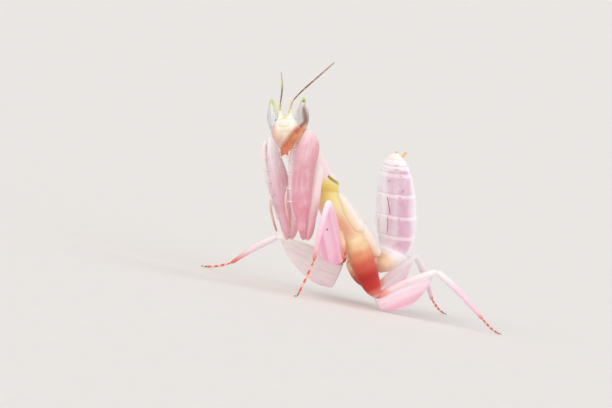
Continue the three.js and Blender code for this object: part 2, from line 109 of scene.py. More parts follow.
WALKING_LEGS = {
    "midleg_left": {
        "coxa": [(1.7, -10.9, 11.0), (2.5, -9.6, 8.2), (2.8, -9.0, 7.0)],
        "girth": 1.25,
        "hip": (2.9, -9.1, 6.8),
        "knee": (5.8, -15.9, 16.0),
        "ankle": (6.5, -16.5, 6.1),
        "sole": (6.4, -18.0, 0.2),
        "lobe": 5.0,
        "fullest": 0.45,
        "heel": 0.24,
        "taper": 0.6,
    },
    "midleg_right": {
        "coxa": [(-1.6, -8.3, 9.8), (-2.3, -6.4, 7.2), (-2.6, -5.3, 6.0)],
        "girth": 1.25,
        "hip": (-2.7, -5.3, 5.8),
        "knee": (-9.2, -14.3, 7.6),
        "ankle": (-14.2, -18.6, 1.7),
        "sole": (-16.4, -22.0, 0.2),
        "lobe": 4.6,
        "fullest": 0.25,
        "heel": 0.92,
        "taper": 0.7,
    },
    "hindleg_left": {
        "coxa": [(1.6, -7.4, 11.0), (2.5, -4.6, 6.6), (3.1, -1.3, 2.0)],
        "girth": 2.0,
        "hip": (3.1, -1.7, 1.9),
        "knee": (5.9, 6.8, 8.1),
        "ankle": (9.0, 15.3, 2.1),
        "sole": (7.6, 19.7, 0.2),
        "lobe": 3.4,
        "fullest": 0.4,
        "heel": 0.6,
        "taper": 0.7,
    },
    "hindleg_right": {
        "coxa": [(-1.8, -4.6, 7.0), (-2.3, -1.8, 4.6), (-2.5, 0.9, 2.9)],
        "girth": 1.4,
        "hip": (-2.6, 1.4, 2.6),
        "knee": (-5.5, 9.5, 9.0),
        "ankle": (-8.8, 16.6, 2.1),
        "sole": (-10.6, 20.4, 0.2),
        "lobe": 3.4,
        "fullest": 0.5,
        "heel": 0.6,
        "taper": 0.7,
    },
}

# ---- Lines, girths and shells -------------------------------------------------------------------


def unit(v):
    """A vector, or each row of vectors, at length one."""
    v = np.asarray(v, float)
    return v / np.maximum(np.linalg.norm(v, axis=-1, keepdims=True), 1e-9)


class Line:
    """The smooth line through a path's points (centripetal Catmull-Rom), read by its share of length."""

    def __init__(self, path, density=200):
        path = np.array(path, float)
        ends = [2 * path[0] - path[1], *path, 2 * path[-1] - path[-2]]
        stretches = []
        for i in range(len(path) - 1):
            p0, p1, p2, p3 = ends[i : i + 4]
            gaps = [np.linalg.norm(b - a) for a, b in ((p0, p1), (p1, p2), (p2, p3))]
            d0, d1, d2 = (math.sqrt(max(gap, 1e-6)) for gap in gaps)
            m1 = ((p1 - p0) / d0 - (p2 - p0) / (d0 + d1) + (p2 - p1) / d1) * d1
            m2 = ((p2 - p1) / d1 - (p3 - p1) / (d1 + d2) + (p3 - p2) / d2) * d1
            t = np.linspace(0, 1, density)[:, None]
            bend = (2 * p1 - 2 * p2 + m1 + m2) * t**3 + (3 * p2 - 3 * p1 - 2 * m1 - m2) * t**2
            stretches.append((bend + m1 * t + p1)[0 if i == 0 else 1 :])
        self.points = np.concatenate(stretches)
        steps = np.linalg.norm(np.diff(self.points, axis=0), axis=1)
        self.reach = np.concatenate([[0], np.cumsum(steps)])
        self.length = self.reach[-1]

    def at_distance(self, distance):
        """Points at distances along the line."""
        return np.stack([np.interp(distance, self.reach, self.points[:, k]) for k in range(3)], axis=-1)

    def point(self, t):
        """Points at shares of the length; past an end the line runs on straight."""
        t = np.asarray(t, float)
        beyond = (t - np.clip(t, 0, 1))[..., None] * self.length
        return self.at_distance(np.clip(t, 0, 1) * self.length) + beyond * self.tangent(t)

    def tangent(self, t):
        """Directions of the line at shares of its length."""
        step = 0.002
        t = np.clip(np.asarray(t, float), step, 1 - step)
        return unit(self.at_distance((t + step) * self.length) - self.at_distance((t - step) * self.length))


def girth(rows):
    """A smooth function of t through rows of (t, value, value, ...)."""
    rows = np.array(rows, float)
    times, values = rows[:, 0], rows[:, 1:]
    slopes = np.gradient(values, times, axis=0)

    def read(t):
        t = np.clip(np.asarray(t, float), times[0], times[-1])
        i = np.clip(np.searchsorted(times, t) - 1, 0, len(times) - 2)
        span = times[i + 1] - times[i]
        p = ((t - times[i]) / span)[..., None]
        span = span[..., None]
        start, end = values[i], values[i + 1]
        return (
            (2 * p**3 - 3 * p**2 + 1) * start
            + (p**3 - 2 * p**2 + p) * span * slopes[i]
            + (3 * p**2 - 2 * p**3) * end
            + (p**3 - p**2) * span * slopes[i + 1]
        )

    return read


def round_rows(*stops):
    """The rows of a round girth, from pairs of t and radius."""
    return [(t, radius, radius, radius) for t, radius in stops]


class Shell:
    """Closed bodies as arrays: points and faces, and each point's place on its body and segment's number."""

    def __init__(self, points, faces, place, segment=0.0):
        self.points = np.asarray(points, float)
        self.faces = [tuple(int(i) for i in face) for face in faces]
        self.place = np.asarray(place, float)
        self.segment = np.broadcast_to(np.asarray(segment, float), len(self.points)).copy()

    def moved(self, matrix):
        """The bodies put in place by a matrix; what is stored on the points stays."""
        turn = np.array(matrix.to_3x3())
        points = self.points @ turn.T + np.array(matrix.translation)
        return Shell(points, self.faces, self.place, self.segment)

    def only(self, number):
        """The bodies of one segment."""
        kept = np.flatnonzero(self.segment == number)
        new_index = {int(old): new for new, old in enumerate(kept)}
        faces = [tuple(new_index[i] for i in face) for face in self.faces if face[0] in new_index]
        return Shell(self.points[kept], faces, self.place[kept], self.segment[kept])


def joined(*shells):
    """Several shells as one."""
    faces, start = [], 0
    for shell in shells:
        faces += [tuple(i + start for i in face) for face in shell.faces]
        start += len(shell.points)
    return Shell(
        np.concatenate([s.points for s in shells]),
        faces,
        np.concatenate([s.place for s in shells]),
        np.concatenate([s.segment for s in shells]),
    )


def closed_rings(rings, start, end, place, start_place, end_place, segment=0.0):
    """A closed shell from rings of points and a pole at each end."""
    count, around = rings.shape[:2]

    def index(i, j):
        return i * around + j % around

    faces = [
        (index(i, j), index(i, j + 1), index(i + 1, j + 1), index(i + 1, j))
        for i in range(count - 1)
        for j in range(around)
    ]
    first, last = count * around, count * around + 1
    faces += [(first, index(0, j + 1), index(0, j)) for j in range(around)]
    faces += [(last, index(count - 1, j), index(count - 1, j + 1)) for j in range(around)]
    points = np.concatenate([rings.reshape(-1, 3), [start, end]])
    places = np.concatenate([place.reshape(-1, 3), [start_place, end_place]])
    return Shell(points, faces, places, segment)


def sweep(path, rows, side=(1, 0, 0), rings=48, sides=32, ends=(50, 50), swell=None, segment=0.0):
    """A rounded closed body along a path.

    rows hold (t, half width, height above the path, depth below it). side is the direction of the width, or a
    function of t. ends are how blunt the first and last end are, in degrees. swell(t, angle) is added to the
    girth. The place stored at each point is (t, distance across, distance upward).
    """
    line = path if isinstance(path, Line) else Line(path)
    read = girth(rows)
    phi = np.linspace(0, math.pi, rings + 2)[1:-1]
    y = -np.cos(phi)
    t = (1 + y) / 2
    blunt = np.radians(np.where(y > 0, ends[1], ends[0]))
    roundness = np.sin(math.pi / 2 * np.minimum(1, np.arccos(np.abs(y)) / blunt))
    along = line.tangent(t)
    if callable(side):
        width_way = np.array([side(x) for x in t])
    else:
        width_way = np.tile(np.array(side, float), (len(t), 1))
    across = unit(width_way - along * np.sum(width_way * along, axis=1, keepdims=True))
    upward = np.cross(across, along)
    angle = np.linspace(0, 2 * math.pi, sides, endpoint=False)
    wide, above, below = read(t).T
    extra = swell(t[:, None], angle[None, :]) if swell else 0.0
    across_reach = (wide[:, None] + extra) * roundness[:, None] * np.cos(angle)
    height = np.where(np.sin(angle) > 0, above[:, None], below[:, None]) + extra
    upward_reach = height * roundness[:, None] * np.sin(angle)
    rings_at = line.point(t)[:, None, :] + across_reach[..., None] * across[:, None, :]
    rings_at = rings_at + upward_reach[..., None] * upward[:, None, :]
    place = np.stack([np.repeat(t[:, None], sides, axis=1), across_reach, upward_reach], axis=-1)
    start, end = line.point(0.0), line.point(1.0)
    return closed_rings(rings_at, start, end, place, (0, 0, 0), (1, 0, 0), segment)


def ball(centre, radii, segment=0.0, rings=16, sides=24):
    """An egg-shaped knob."""
    centre, radii = np.array(centre, float), np.array(radii, float)
    phi = np.linspace(0, math.pi, rings + 2)[1:-1]
    angle = np.linspace(0, 2 * math.pi, sides, endpoint=False)
    spread = np.sin(phi)[:, None]
    level = np.repeat(-np.cos(phi)[:, None], sides, axis=1)
    place = np.stack([spread * np.cos(angle), spread * np.sin(angle), level], axis=-1) * radii
    start, end = centre - (0, 0, radii[2]), centre + (0, 0, radii[2])
    return closed_rings(place + centre, start, end, place, (0, 0, -radii[2]), (0, 0, radii[2]), segment)


def square_to(axis, direction):
    """The part of a direction that stands square to an axis, at length one."""
    axis = unit(axis)
    direction = np.asarray(direction, float)
    return unit(direction - axis * np.dot(direction, axis))


def bump_at(t, where, width):
    """A smooth rise of height one at a share of the length."""
    return np.exp(-(((t - where) / width) ** 2))


# ---- Meshes -------------------------------------------------------------------------------------


def mesh_object(name, shell, material=None):
    """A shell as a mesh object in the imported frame, with its place and segment stored on its points."""
    mesh = bpy.data.meshes.new(name)
    points = (shell.points + np.array(PACKED_ORIGIN)) * MM
    mesh.from_pydata(points.tolist(), [], shell.faces)
    mesh.update()
    place = mesh.attributes.new("place", "FLOAT_VECTOR", "POINT")
    place.data.foreach_set("vector", shell.place.astype(np.float32).ravel())
    segment = mesh.attributes.new("segment", "FLOAT", "POINT")
    segment.data.foreach_set("value", shell.segment.astype(np.float32))
    obj = bpy.data.objects.new(name, mesh)
    bpy.context.scene.collection.objects.link(obj)
    turn_outward(obj)
    mesh.shade_smooth()
    if material:
        mesh.materials.append(material)
    return obj


def turn_outward(obj):
    """Makes every face of closed shells point out."""
    bpy.context.view_layer.objects.active = obj
    obj.select_set(True)
    bpy.ops.object.mode_set(mode="EDIT")
    bpy.ops.mesh.select_all(action="SELECT")
    bpy.ops.mesh.normals_make_consistent(inside=False)
    bpy.ops.object.mode_set(mode="OBJECT")
    obj.select_set(False)


def baked(obj):
    """The object's own mesh with its modifiers worked in."""
    graph = bpy.context.evaluated_depsgraph_get()
    mesh = bpy.data.meshes.new_from_object(obj.evaluated_get(graph))
    mesh.name = obj.name
    obj.modifiers.clear()
    old = obj.data
    obj.data = mesh
    bpy.data.meshes.remove(old)
    return obj


def kept_clear(obj, *neighbours):
    """The object without what would pass through its neighbours."""
    for neighbour in neighbours:
        cut = obj.modifiers.new("keep clear", "BOOLEAN")
        cut.operation = "DIFFERENCE"
        cut.solver = "EXACT"
        cut.object = bpy.data.objects[neighbour]
    return baked(obj)


def carry_places_tree():
    """A node tree that stores the place of the nearest point on a source's surface, and the gap to it."""
    tree = bpy.data.node_groups.new("carry_places", "GeometryNodeTree")
    tree.interface.new_socket("Geometry", in_out="INPUT", socket_type="NodeSocketGeometry")
    tree.interface.new_socket("Source", in_out="INPUT", socket_type="NodeSocketObject")
    tree.interface.new_socket("Place name", in_out="INPUT", socket_type="NodeSocketString")
    tree.interface.new_socket("Gap name", in_out="INPUT", socket_type="NodeSocketString")
    tree.interface.new_socket("Geometry", in_out="OUTPUT", socket_type="NodeSocketGeometry")
    enter = tree.nodes.new("NodeGroupInput")
    leave = tree.nodes.new("NodeGroupOutput")
    source = tree.nodes.new("GeometryNodeObjectInfo")
    tree.links.new(enter.outputs["Source"], source.inputs["Object"])
    place = tree.nodes.new("GeometryNodeInputNamedAttribute")
    place.data_type = "FLOAT_VECTOR"
    place.inputs["Name"].default_value = "place"
    nearest = tree.nodes.new("GeometryNodeSampleNearestSurface")
    nearest.data_type = "FLOAT_VECTOR"
    tree.links.new(source.outputs["Geometry"], nearest.inputs["Mesh"])
    tree.links.new(place.outputs["Attribute"], nearest.inputs["Value"])
    gap = tree.nodes.new("GeometryNodeProximity")
    gap.target_element = "FACES"
    tree.links.new(source.outputs["Geometry"], gap.inputs[0])
    flow = enter.outputs["Geometry"]
    for kind, name, value in (
        ("FLOAT_VECTOR", "Place name", nearest.outputs["Value"]),
        ("FLOAT", "Gap name", gap.outputs["Distance"]),
    ):
        store = tree.nodes.new("GeometryNodeStoreNamedAttribute")
        store.data_type = kind
        store.domain = "POINT"
        tree.links.new(enter.outputs[name], store.inputs["Name"])
        tree.links.new(flow, store.inputs["Geometry"])
        tree.links.new(value, store.inputs["Value"])
        flow = store.outputs["Geometry"]
    tree.links.new(flow, leave.inputs["Geometry"])
    return tree


def set_input(modifier, tree, name, value):
    """Sets a modifier's input by the identifier of the socket with that name."""
    for item in tree.interface.items_tree:
        if item.item_type == "SOCKET" and item.in_out == "INPUT" and item.name == name:
            modifier[item.identifier] = value
            return
    raise KeyError(name)


def skin(name, shell, material, grain, smoothing):
    """One seamless skin over shells that run into each other.

    For each segment it stores its place on that segment and the gap to it.
    """
    whole = mesh_object(name + "_whole", shell)
    obj = bpy.data.objects.new(name, whole.data.copy())
    bpy.data.objects.remove(whole)
    bpy.context.scene.collection.objects.link(obj)
    remesh = obj.modifiers.new("one skin", "REMESH")
    remesh.mode = "VOXEL"
    remesh.voxel_size = grain * 1 * MM
    remesh.use_smooth_shade = True
    relax = obj.modifiers.new("relax", "SMOOTH")
    relax.factor = 0.5
    relax.iterations = smoothing
    sources = []
    for number in sorted(set(shell.segment)):
        source = mesh_object(f"{name}_source", shell.only(number))
        sources.append(source)
        carry = obj.modifiers.new("carry places", "NODES")
        carry.node_group = CARRY_PLACES
        set_input(carry, CARRY_PLACES, "Source", source)
        set_input(carry, CARRY_PLACES, "Place name", f"place {number:.0f}")
        set_input(carry, CARRY_PLACES, "Gap name", f"gap {number:.0f}")
    baked(obj)
    for source in sources:
        bpy.data.objects.remove(source)
    obj.data.materials.clear()
    obj.data.materials.append(material)
    obj.data.shade_smooth()
    return obj


def dress(obj, slot, *nodes):
    """Hands a finished piece to the frame."""
    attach(obj, "root")
    if nodes:
        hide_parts(*nodes)
    return obj


CARRY_PLACES = carry_places_tree()

# ---- Spines: cones set on points by Geometry Nodes ------------------------------------------------


def spine_tree():
    """Slim cones on a cloud of points, each aimed and sized by the point's own values."""
    tree = bpy.data.node_groups.new("spines", "GeometryNodeTree")
    tree.interface.new_socket("Geometry", in_out="INPUT", socket_type="NodeSocketGeometry")
    sides = tree.interface.new_socket("Sides", in_out="INPUT", socket_type="NodeSocketInt")
    sides.default_value = 10
    slimness = tree.interface.new_socket("Slimness", in_out="INPUT", socket_type="NodeSocketFloat")
    slimness.default_value = 0.2
    tree.interface.new_socket("Finish", in_out="INPUT", socket_type="NodeSocketMaterial")
    tree.interface.new_socket("Geometry", in_out="OUTPUT", socket_type="NodeSocketGeometry")
    enter = tree.nodes.new("NodeGroupInput")
    leave = tree.nodes.new("NodeGroupOutput")
    cone = tree.nodes.new("GeometryNodeMeshCone")
    cone.inputs["Side Segments"].default_value = 3
    cone.inputs["Radius Top"].default_value = 0.02
    cone.inputs["Depth"].default_value = 1.0
    tree.links.new(enter.outputs["Sides"], cone.inputs["Vertices"])
    tree.links.new(enter.outputs["Slimness"], cone.inputs["Radius Bottom"])
    aim = tree.nodes.new("GeometryNodeInputNamedAttribute")
    aim.data_type = "FLOAT_VECTOR"
    aim.inputs["Name"].default_value = "aim"
    size = tree.nodes.new("GeometryNodeInputNamedAttribute")
    size.data_type = "FLOAT"
    size.inputs["Name"].default_value = "size"
    turn = tree.nodes.new("FunctionNodeAlignRotationToVector")
    turn.axis = "Z"
    tree.links.new(aim.outputs["Attribute"], turn.inputs["Vector"])
    place = tree.nodes.new("GeometryNodeInstanceOnPoints")
    tree.links.new(enter.outputs["Geometry"], place.inputs["Points"])
    tree.links.new(cone.outputs["Mesh"], place.inputs["Instance"])
    tree.links.new(turn.outputs["Rotation"], place.inputs["Rotation"])
    tree.links.new(size.outputs["Attribute"], place.inputs["Scale"])
    real = tree.nodes.new("GeometryNodeRealizeInstances")
    tree.links.new(place.outputs["Instances"], real.inputs["Geometry"])
    finish = tree.nodes.new("GeometryNodeSetMaterial")
    tree.links.new(real.outputs["Geometry"], finish.inputs["Geometry"])
    tree.links.new(enter.outputs["Finish"], finish.inputs["Material"])
    tree.links.new(finish.outputs["Geometry"], leave.inputs["Geometry"])
    return tree


SPINES = spine_tree()


def spines(name, roots, tips, slimness, material):
    """A row of spines from root points to tip points, as one mesh."""
    roots, tips = np.array(roots, float), np.array(tips, float)
    mesh = bpy.data.meshes.new(name)
    mesh.from_pydata(((roots + np.array(PACKED_ORIGIN)) * MM).tolist(), [], [])
    reach = (tips - roots) * MM
    aim = mesh.attributes.new("aim", "FLOAT_VECTOR", "POINT")
    aim.data.foreach_set("vector", reach.astype(np.float32).ravel())
    size = mesh.attributes.new("size", "FLOAT", "POINT")
    size.data.foreach_set("value", np.linalg.norm(reach, axis=1).astype(np.float32))
    obj = bpy.data.objects.new(name, mesh)
    bpy.context.scene.collection.objects.link(obj)
    grow = obj.modifiers.new("spines", "NODES")
    grow.node_group = SPINES
    set_input(grow, SPINES, "Slimness", slimness)
    set_input(grow, SPINES, "Finish", material)
    baked(obj)
    obj.data.shade_smooth()
    return obj


# ---- Materials ----------------------------------------------------------------------------------


def colour(r, g, b):
    """A colour as it is seen (0 to 255) in the linear values that a shader takes."""
    shares = (r / 255, g / 255, b / 255)
    linear = [c / 12.92 if c <= 0.04045 else ((c + 0.055) / 1.055) ** 2.4 for c in shares]
    return (*linear, 1.0)


WHITE = colour(250, 244, 245)


class Paint:
    """A small helper that builds one material's nodes."""

    def __init__(self, name, roughness=0.45, soft=0.12, coat=0.15):
        self.material = bpy.data.materials.new(name)
        self.material.use_nodes = True
        self.nodes = self.material.node_tree.nodes
        self.links = self.material.node_tree.links
        self.shader = self.nodes["Principled BSDF"]
        self.shader.inputs["Roughness"].default_value = roughness
        self.shader.inputs["Subsurface Weight"].default_value = soft
        self.shader.inputs["Subsurface Radius"].default_value = (1.0, 0.45, 0.35)
        self.shader.inputs["Subsurface Scale"].default_value = 0.9 * MM
        self.shader.inputs["Coat Weight"].default_value = coat
        self.shader.inputs["Coat Roughness"].default_value = 0.3
        self.shader.inputs["Specular IOR Level"].default_value = 0.4
        self.read_place("place")
        coordinates = self.nodes.new("ShaderNodeTexCoord")
        self.object = coordinates.outputs["Object"]

    def attribute(self, name):
        """The node that reads what is stored on the points under a name."""
        node = self.nodes.new("ShaderNodeAttribute")
        node.attribute_name = name
        return node

    def read_place(self, name):
        """Takes along, across and upward from a place stored on the points."""
        split = self.nodes.new("ShaderNodeSeparateXYZ")
        self.links.new(self.attribute(name).outputs["Vector"], split.inputs[0])
        self.along, self.across, self.upward = split.outputs

    def blend(self, soft, paints):
        """Colours one skin by its segments' own paints, soft over that many millimetres where they meet."""
        base = nearest = None
        for number, paint in paints.items():
            self.read_place(f"place {number}")
            shade = paint(self)
            gap = self.attribute(f"gap {number}").outputs["Fac"]
            if base is None:
                base, nearest = shade, gap
                continue
            closer = self.minus(nearest, gap)
            base = self.mix(self.fade(closer, -soft * MM, soft * MM), base, shade)
            nearest = self.math("MINIMUM", nearest, gap)
        return base

    def put(self, socket, value):
        """Links an output to a socket, or gives the socket a value."""
        if isinstance(value, bpy.types.NodeSocket):
            self.links.new(value, socket)
        else:
            socket.default_value = value

    def math(self, operation, a, b=0.0, clamp=False):
        node = self.nodes.new("ShaderNodeMath")
        node.operation = operation
        node.use_clamp = clamp
        self.put(node.inputs[0], a)
        self.put(node.inputs[1], b)
        return node.outputs[0]

    def fade(self, value, low, high):
        """Nought below low and one above high, smooth between; low may be the larger."""
        node = self.nodes.new("ShaderNodeMapRange")
        node.interpolation_type = "SMOOTHSTEP"
        self.put(node.inputs["Value"], value)
        node.inputs["From Min"].default_value = low
        node.inputs["From Max"].default_value = high
        return node.outputs["Result"]

    def share(self, value, low, high):
        """Nought at low and one at high, even between."""
        node = self.nodes.new("ShaderNodeMapRange")
        self.put(node.inputs["Value"], value)
        node.inputs["From Min"].default_value = low
        node.inputs["From Max"].default_value = high
        return node.outputs["Result"]

    def times(self, a, b):
        return self.math("MULTIPLY", a, b)

    def plus(self, a, b):
        return self.math("ADD", a, b)

    def minus(self, a, b):
        return self.math("SUBTRACT", a, b)

    def size(self, value):
        """The value without its sign."""
        return self.math("ABSOLUTE", value)

    def veins(self, value):
        """Nought on lines where the value is a whole number of half turns, and one between them."""
        return self.size(self.math("SINE", value))

    def band(self, value, middle, half, soft):
        """One within half of the middle, fading out over soft."""
        return self.fade(self.size(self.minus(value, middle)), half + soft, half)

    def spot(self, off_x, off_y, radius, soft):
        """A round spot, from the distances to its middle."""
        squares = self.plus(self.times(off_x, off_x), self.times(off_y, off_y))
        return self.fade(self.math("SQRT", squares), radius + soft, radius)

    def both(self, *masks):
        """What all the masks share."""
        result = masks[0]
        for mask in masks[1:]:
            result = self.times(result, mask)
        return result

    def vector(self, x, y, z):
        node = self.nodes.new("ShaderNodeCombineXYZ")
        for socket, value in zip(node.inputs, (x, y, z)):
            self.put(socket, value)
        return node.outputs[0]

    def noise(self, size, where=None, detail=3.0):
        """Soft cloudy values from 0 to 1; size is millimetres on Object coordinates, or units of where."""
        mapping = self.nodes.new("ShaderNodeMapping")
        self.put(mapping.inputs["Vector"], where or self.object)
        scale = 1.0 if where else 1.0 / MM
        mapping.inputs["Scale"].default_value = [scale / size] * 3
        node = self.nodes.new("ShaderNodeTexNoise")
        node.inputs["Scale"].default_value = 1.0
        node.inputs["Detail"].default_value = detail
        self.links.new(mapping.outputs[0], node.inputs["Vector"])
        return node.outputs["Fac"]

    def ramp(self, value, *stops):
        """A colour that runs through (position, colour) stops."""
        node = self.nodes.new("ShaderNodeValToRGB")
        node.color_ramp.interpolation = "EASE"
        elements = node.color_ramp.elements
        while len(elements) < len(stops):
            elements.new(0.5)
        for element, (position, shade) in zip(elements, stops):
            element.position = position
            element.color = shade
        self.put(node.inputs["Fac"], value)
        return node.outputs["Color"]

    def mix(self, amount, a, b):
        """Colour a, turning to colour b as the amount rises to one."""
        node = self.nodes.new("ShaderNodeMix")
        node.data_type = "RGBA"
        self.put(node.inputs[0], amount)
        self.put(node.inputs[6], a)
        self.put(node.inputs[7], b)
        return node.outputs[2]

    def pores(self):
        """The fine pebbled grain of cuticle."""
        node = self.nodes.new("ShaderNodeGroup")
        node.node_tree = CUTICLE
        node.inputs["Grain"].default_value = PORE_SIZE * MM
        self.links.new(self.object, node.inputs["Vector"])
        return node.outputs["Height"]

    def finish(self, base, height=None, relief=0.03, strength=0.5):
        """Links the colour and a bump of that relief in millimetres."""
        self.put(self.shader.inputs["Base Color"], base)
        if height is None:
            height = self.pores()
        bump = self.nodes.new("ShaderNodeBump")
        bump.inputs["Strength"].default_value = strength
        bump.inputs["Distance"].default_value = relief * MM
        self.links.new(height, bump.inputs["Height"])
        self.links.new(bump.outputs["Normal"], self.shader.inputs["Normal"])
        return self.material


def cuticle_group():
    """Shared fine grain of cuticle: shallow cells with a softer unevenness."""
    group = bpy.data.node_groups.new("cuticle grain", "ShaderNodeTree")
    group.interface.new_socket("Vector", in_out="INPUT", socket_type="NodeSocketVector")
    grain = group.interface.new_socket("Grain", in_out="INPUT", socket_type="NodeSocketFloat")
    grain.default_value = PORE_SIZE * MM
    group.interface.new_socket("Height", in_out="OUTPUT", socket_type="NodeSocketFloat")
    enter = group.nodes.new("NodeGroupInput")
    leave = group.nodes.new("NodeGroupOutput")
    scale = group.nodes.new("ShaderNodeMath")
    scale.operation = "DIVIDE"
    scale.inputs[0].default_value = 1.0
    group.links.new(enter.outputs["Grain"], scale.inputs[1])
    cells = group.nodes.new("ShaderNodeTexVoronoi")
    cells.feature = "SMOOTH_F1"
    group.links.new(enter.outputs["Vector"], cells.inputs["Vector"])
    group.links.new(scale.outputs[0], cells.inputs["Scale"])
    cloud = group.nodes.new("ShaderNodeTexNoise")
    cloud.inputs["Detail"].default_value = 4.0
    half = group.nodes.new("ShaderNodeMath")
    half.operation = "MULTIPLY"
    half.inputs[1].default_value = 0.35
    group.links.new(scale.outputs[0], half.inputs[0])
    group.links.new(enter.outputs["Vector"], cloud.inputs["Vector"])
    group.links.new(half.outputs[0], cloud.inputs["Scale"])
    total = group.nodes.new("ShaderNodeMath")
    total.operation = "ADD"
    group.links.new(cells.outputs["Distance"], total.inputs[0])
    group.links.new(cloud.outputs["Fac"], total.inputs[1])
    group.links.new(total.outputs[0], leave.inputs["Height"])
    return group


CUTICLE = cuticle_group()

# ---- Head ---------------------------------------------------------------------------------------

HEAD_ANGLES = [math.radians(angle) for angle in (HEAD_NOD, HEAD_TILT, HEAD_TURN)]
HEAD_PLACE = Matrix.Translation(HEAD_CENTRE) @ Euler(HEAD_ANGLES).to_matrix().to_4x4()


def on_head(shell, keep_place=False):
    """Puts a shell of the head's own frame in place; its place becomes its point in that frame."""
    if not keep_place:
        shell.place = shell.points.copy()
    return shell.moved(HEAD_PLACE)


def head_shell():
    """The head: a triangle widest at the eyes, with a raised shield, brow, cheeks and antenna sockets."""
    capsule = sweep(
        [CHIN, (0, -0.25, -2.4), (0, 0, 0), CROWN],
        [
            (0, 0.35, 0.3, 0.3),
            (0.1, 0.8, 0.55, 0.6),
            (0.3, 1.75, 0.9, 1.1),
            (0.55, 2.65, 1.15, 1.6),
            (0.72, 2.6, 1.15, 1.65),
            (0.88, 1.9, 0.95, 1.35),
            (1, 1.0, 0.5, 0.8),
        ],
        rings=70,
        sides=64,
        ends=(40, 50),
    )
    shield = ball((0, -1.05, 0.15), (0.95, 0.42, 0.5))
    clypeus = ball((0, -1.15, -2.2), (0.72, 0.28, 1.05))
    brow = ball((0, -0.62, 1.1), (1.5, 0.5, 0.42))
    cheeks = [ball((sign * 1.2, -0.8, -1.35), (0.8, 0.55, 1.5)) for sign in (1, -1)]
    sockets = [
        sweep([(x, -0.45, 1.2), (x, -0.95, 2.5)], round_rows((0, 0.5), (1, 0.28)), rings=20, sides=20)
        for x in (SOCKET_SPREAD, -SOCKET_SPREAD)
    ]
    tubercle_rows = [(0, 0.5, 0.4, 0.4), (1, 0.24, 0.2, 0.2)]
    tubercle = sweep([(0, -0.4, 0.7), (0, -0.62, 1.5)], tubercle_rows, rings=20, sides=20)
    return joined(capsule, shield, clypeus, brow, *cheeks, *sockets, tubercle)


def face_ground(p, cloud):
    """Beige at the chin to cream at the crown, grey beside the eyes and rosy along the right margin."""
    x, z = p.along, p.upward
    base = p.ramp(
        p.share(z, -4.6, 2.2),
        (0.03, colour(208, 142, 126)),
        (0.18, colour(210, 164, 146)),
        (0.32, colour(218, 188, 168)),
        (0.5, colour(234, 215, 195)),
        (0.68, colour(249, 241, 225)),
        (0.85, colour(253, 249, 238)),
        (1.0, colour(244, 245, 224)),
    )
    base = p.mix(p.times(p.fade(cloud, 0.5, 0.8), 0.3), base, colour(255, 250, 242))
    corners = p.both(p.fade(p.size(x), 1.3, 2.1), p.fade(z, -1.3, 0.2))
    base = p.mix(p.times(corners, 0.75), base, colour(208, 202, 200))
    margin = p.both(p.fade(p.plus(x, p.times(z, 0.304)), -1.2, -2.0), p.fade(z, 0.9, -0.3))
    return p.mix(p.times(margin, 0.65), base, colour(232, 178, 166))


def left_cheek(p, base, cloud):
    """A brown streak from the left eye to the chin, with a tan edge and a red blot; the streak is partly the
    cheek's own brown and partly painted shade on this side of the head.
    """
    x, z = p.along, p.upward
    down_cheek = p.plus(x, p.times(z, -0.83))
    # Partly the cheek's own brown, partly painted shade on the left side of the head.
    cheek = p.fade(p.plus(down_cheek, p.times(cloud, -0.4)), 1.45, 2.4)
    cheek_colour = p.ramp(
        p.share(down_cheek, 1.8, 4.3),
        (0.0, colour(224, 184, 156)),
        (0.28, colour(206, 142, 112)),
        (0.44, colour(192, 112, 86)),
        (0.56, colour(206, 140, 98)),
        (0.72, colour(226, 174, 116)),
        (0.9, colour(246, 216, 166)),
    )
    base = p.mix(cheek, base, cheek_colour)
    red = p.spot(p.plus(x, -2.05), p.plus(z, 1.0), 0.1, 0.6)
    return p.mix(p.times(red, 0.55), base, colour(188, 74, 50))


def face_marks(p, base):
    """A yellow mark below the ocelli, the left socket's orange rim, the mouth's red and the shield's seam."""
    x, y, z = p.along, p.across, p.upward
    in_front = p.fade(y, -0.3, -0.7)
    uneven = p.times(p.plus(p.noise(0.4), -0.5), 0.3)
    yellow = p.spot(p.times(p.plus(x, -0.04), 0.42), p.plus(p.plus(z, uneven), -1.2), 0.1, 0.15)
    base = p.mix(p.both(yellow, in_front, 0.8), base, colour(240, 214, 96))
    rim = p.spot(p.plus(x, -0.7), p.plus(z, -2.12), 0.12, 0.26)
    base = p.mix(p.times(rim, 0.8), base, colour(236, 182, 66))
    mouth = p.both(p.fade(p.plus(z, p.times(x, -0.8)), -2.9, -4.0), p.fade(y, 0.2, -0.6))
    base = p.mix(p.times(mouth, 0.7), base, colour(200, 84, 60))
    seam = p.both(p.band(z, -1.15, 0.02, 0.1), p.fade(p.size(x), 1.0, 0.6), in_front)
    base = p.mix(p.times(seam, 0.15), base, colour(196, 150, 124))
    speckle = p.noise(0.12, detail=2.0)
    return p.mix(p.times(p.fade(speckle, 0.62, 0.8), 0.15), base, colour(200, 156, 120))


def face_paint():
    p = Paint("face cuticle", roughness=0.42, soft=0.16)
    p.read_place("place 0")
    cloud = p.noise(0.7)
    base = left_cheek(p, face_ground(p, cloud), cloud)
    return p.finish(face_marks(p, base), relief=0.02)


def eye_shell(sign):
    return sweep(
        [(sign * 2.15, 0.45, -1.3), (sign * 2.38, 0.42, 1.2), (sign * EYE_TIP[0], EYE_TIP[1], EYE_TIP[2])],
        [
            (0, 0.4, 0.6, 0.5),
            (0.25, 0.9, 1.15, 1.1),
            (0.48, 1.08, 1.3, 1.2),
            (0.68, 0.86, 1.05, 0.9),
            (0.87, 0.46, 0.5, 0.45),
            (1, 0.18, 0.2, 0.2),
        ],
        rings=90,
        sides=72,
        ends=(45, 35),
    )


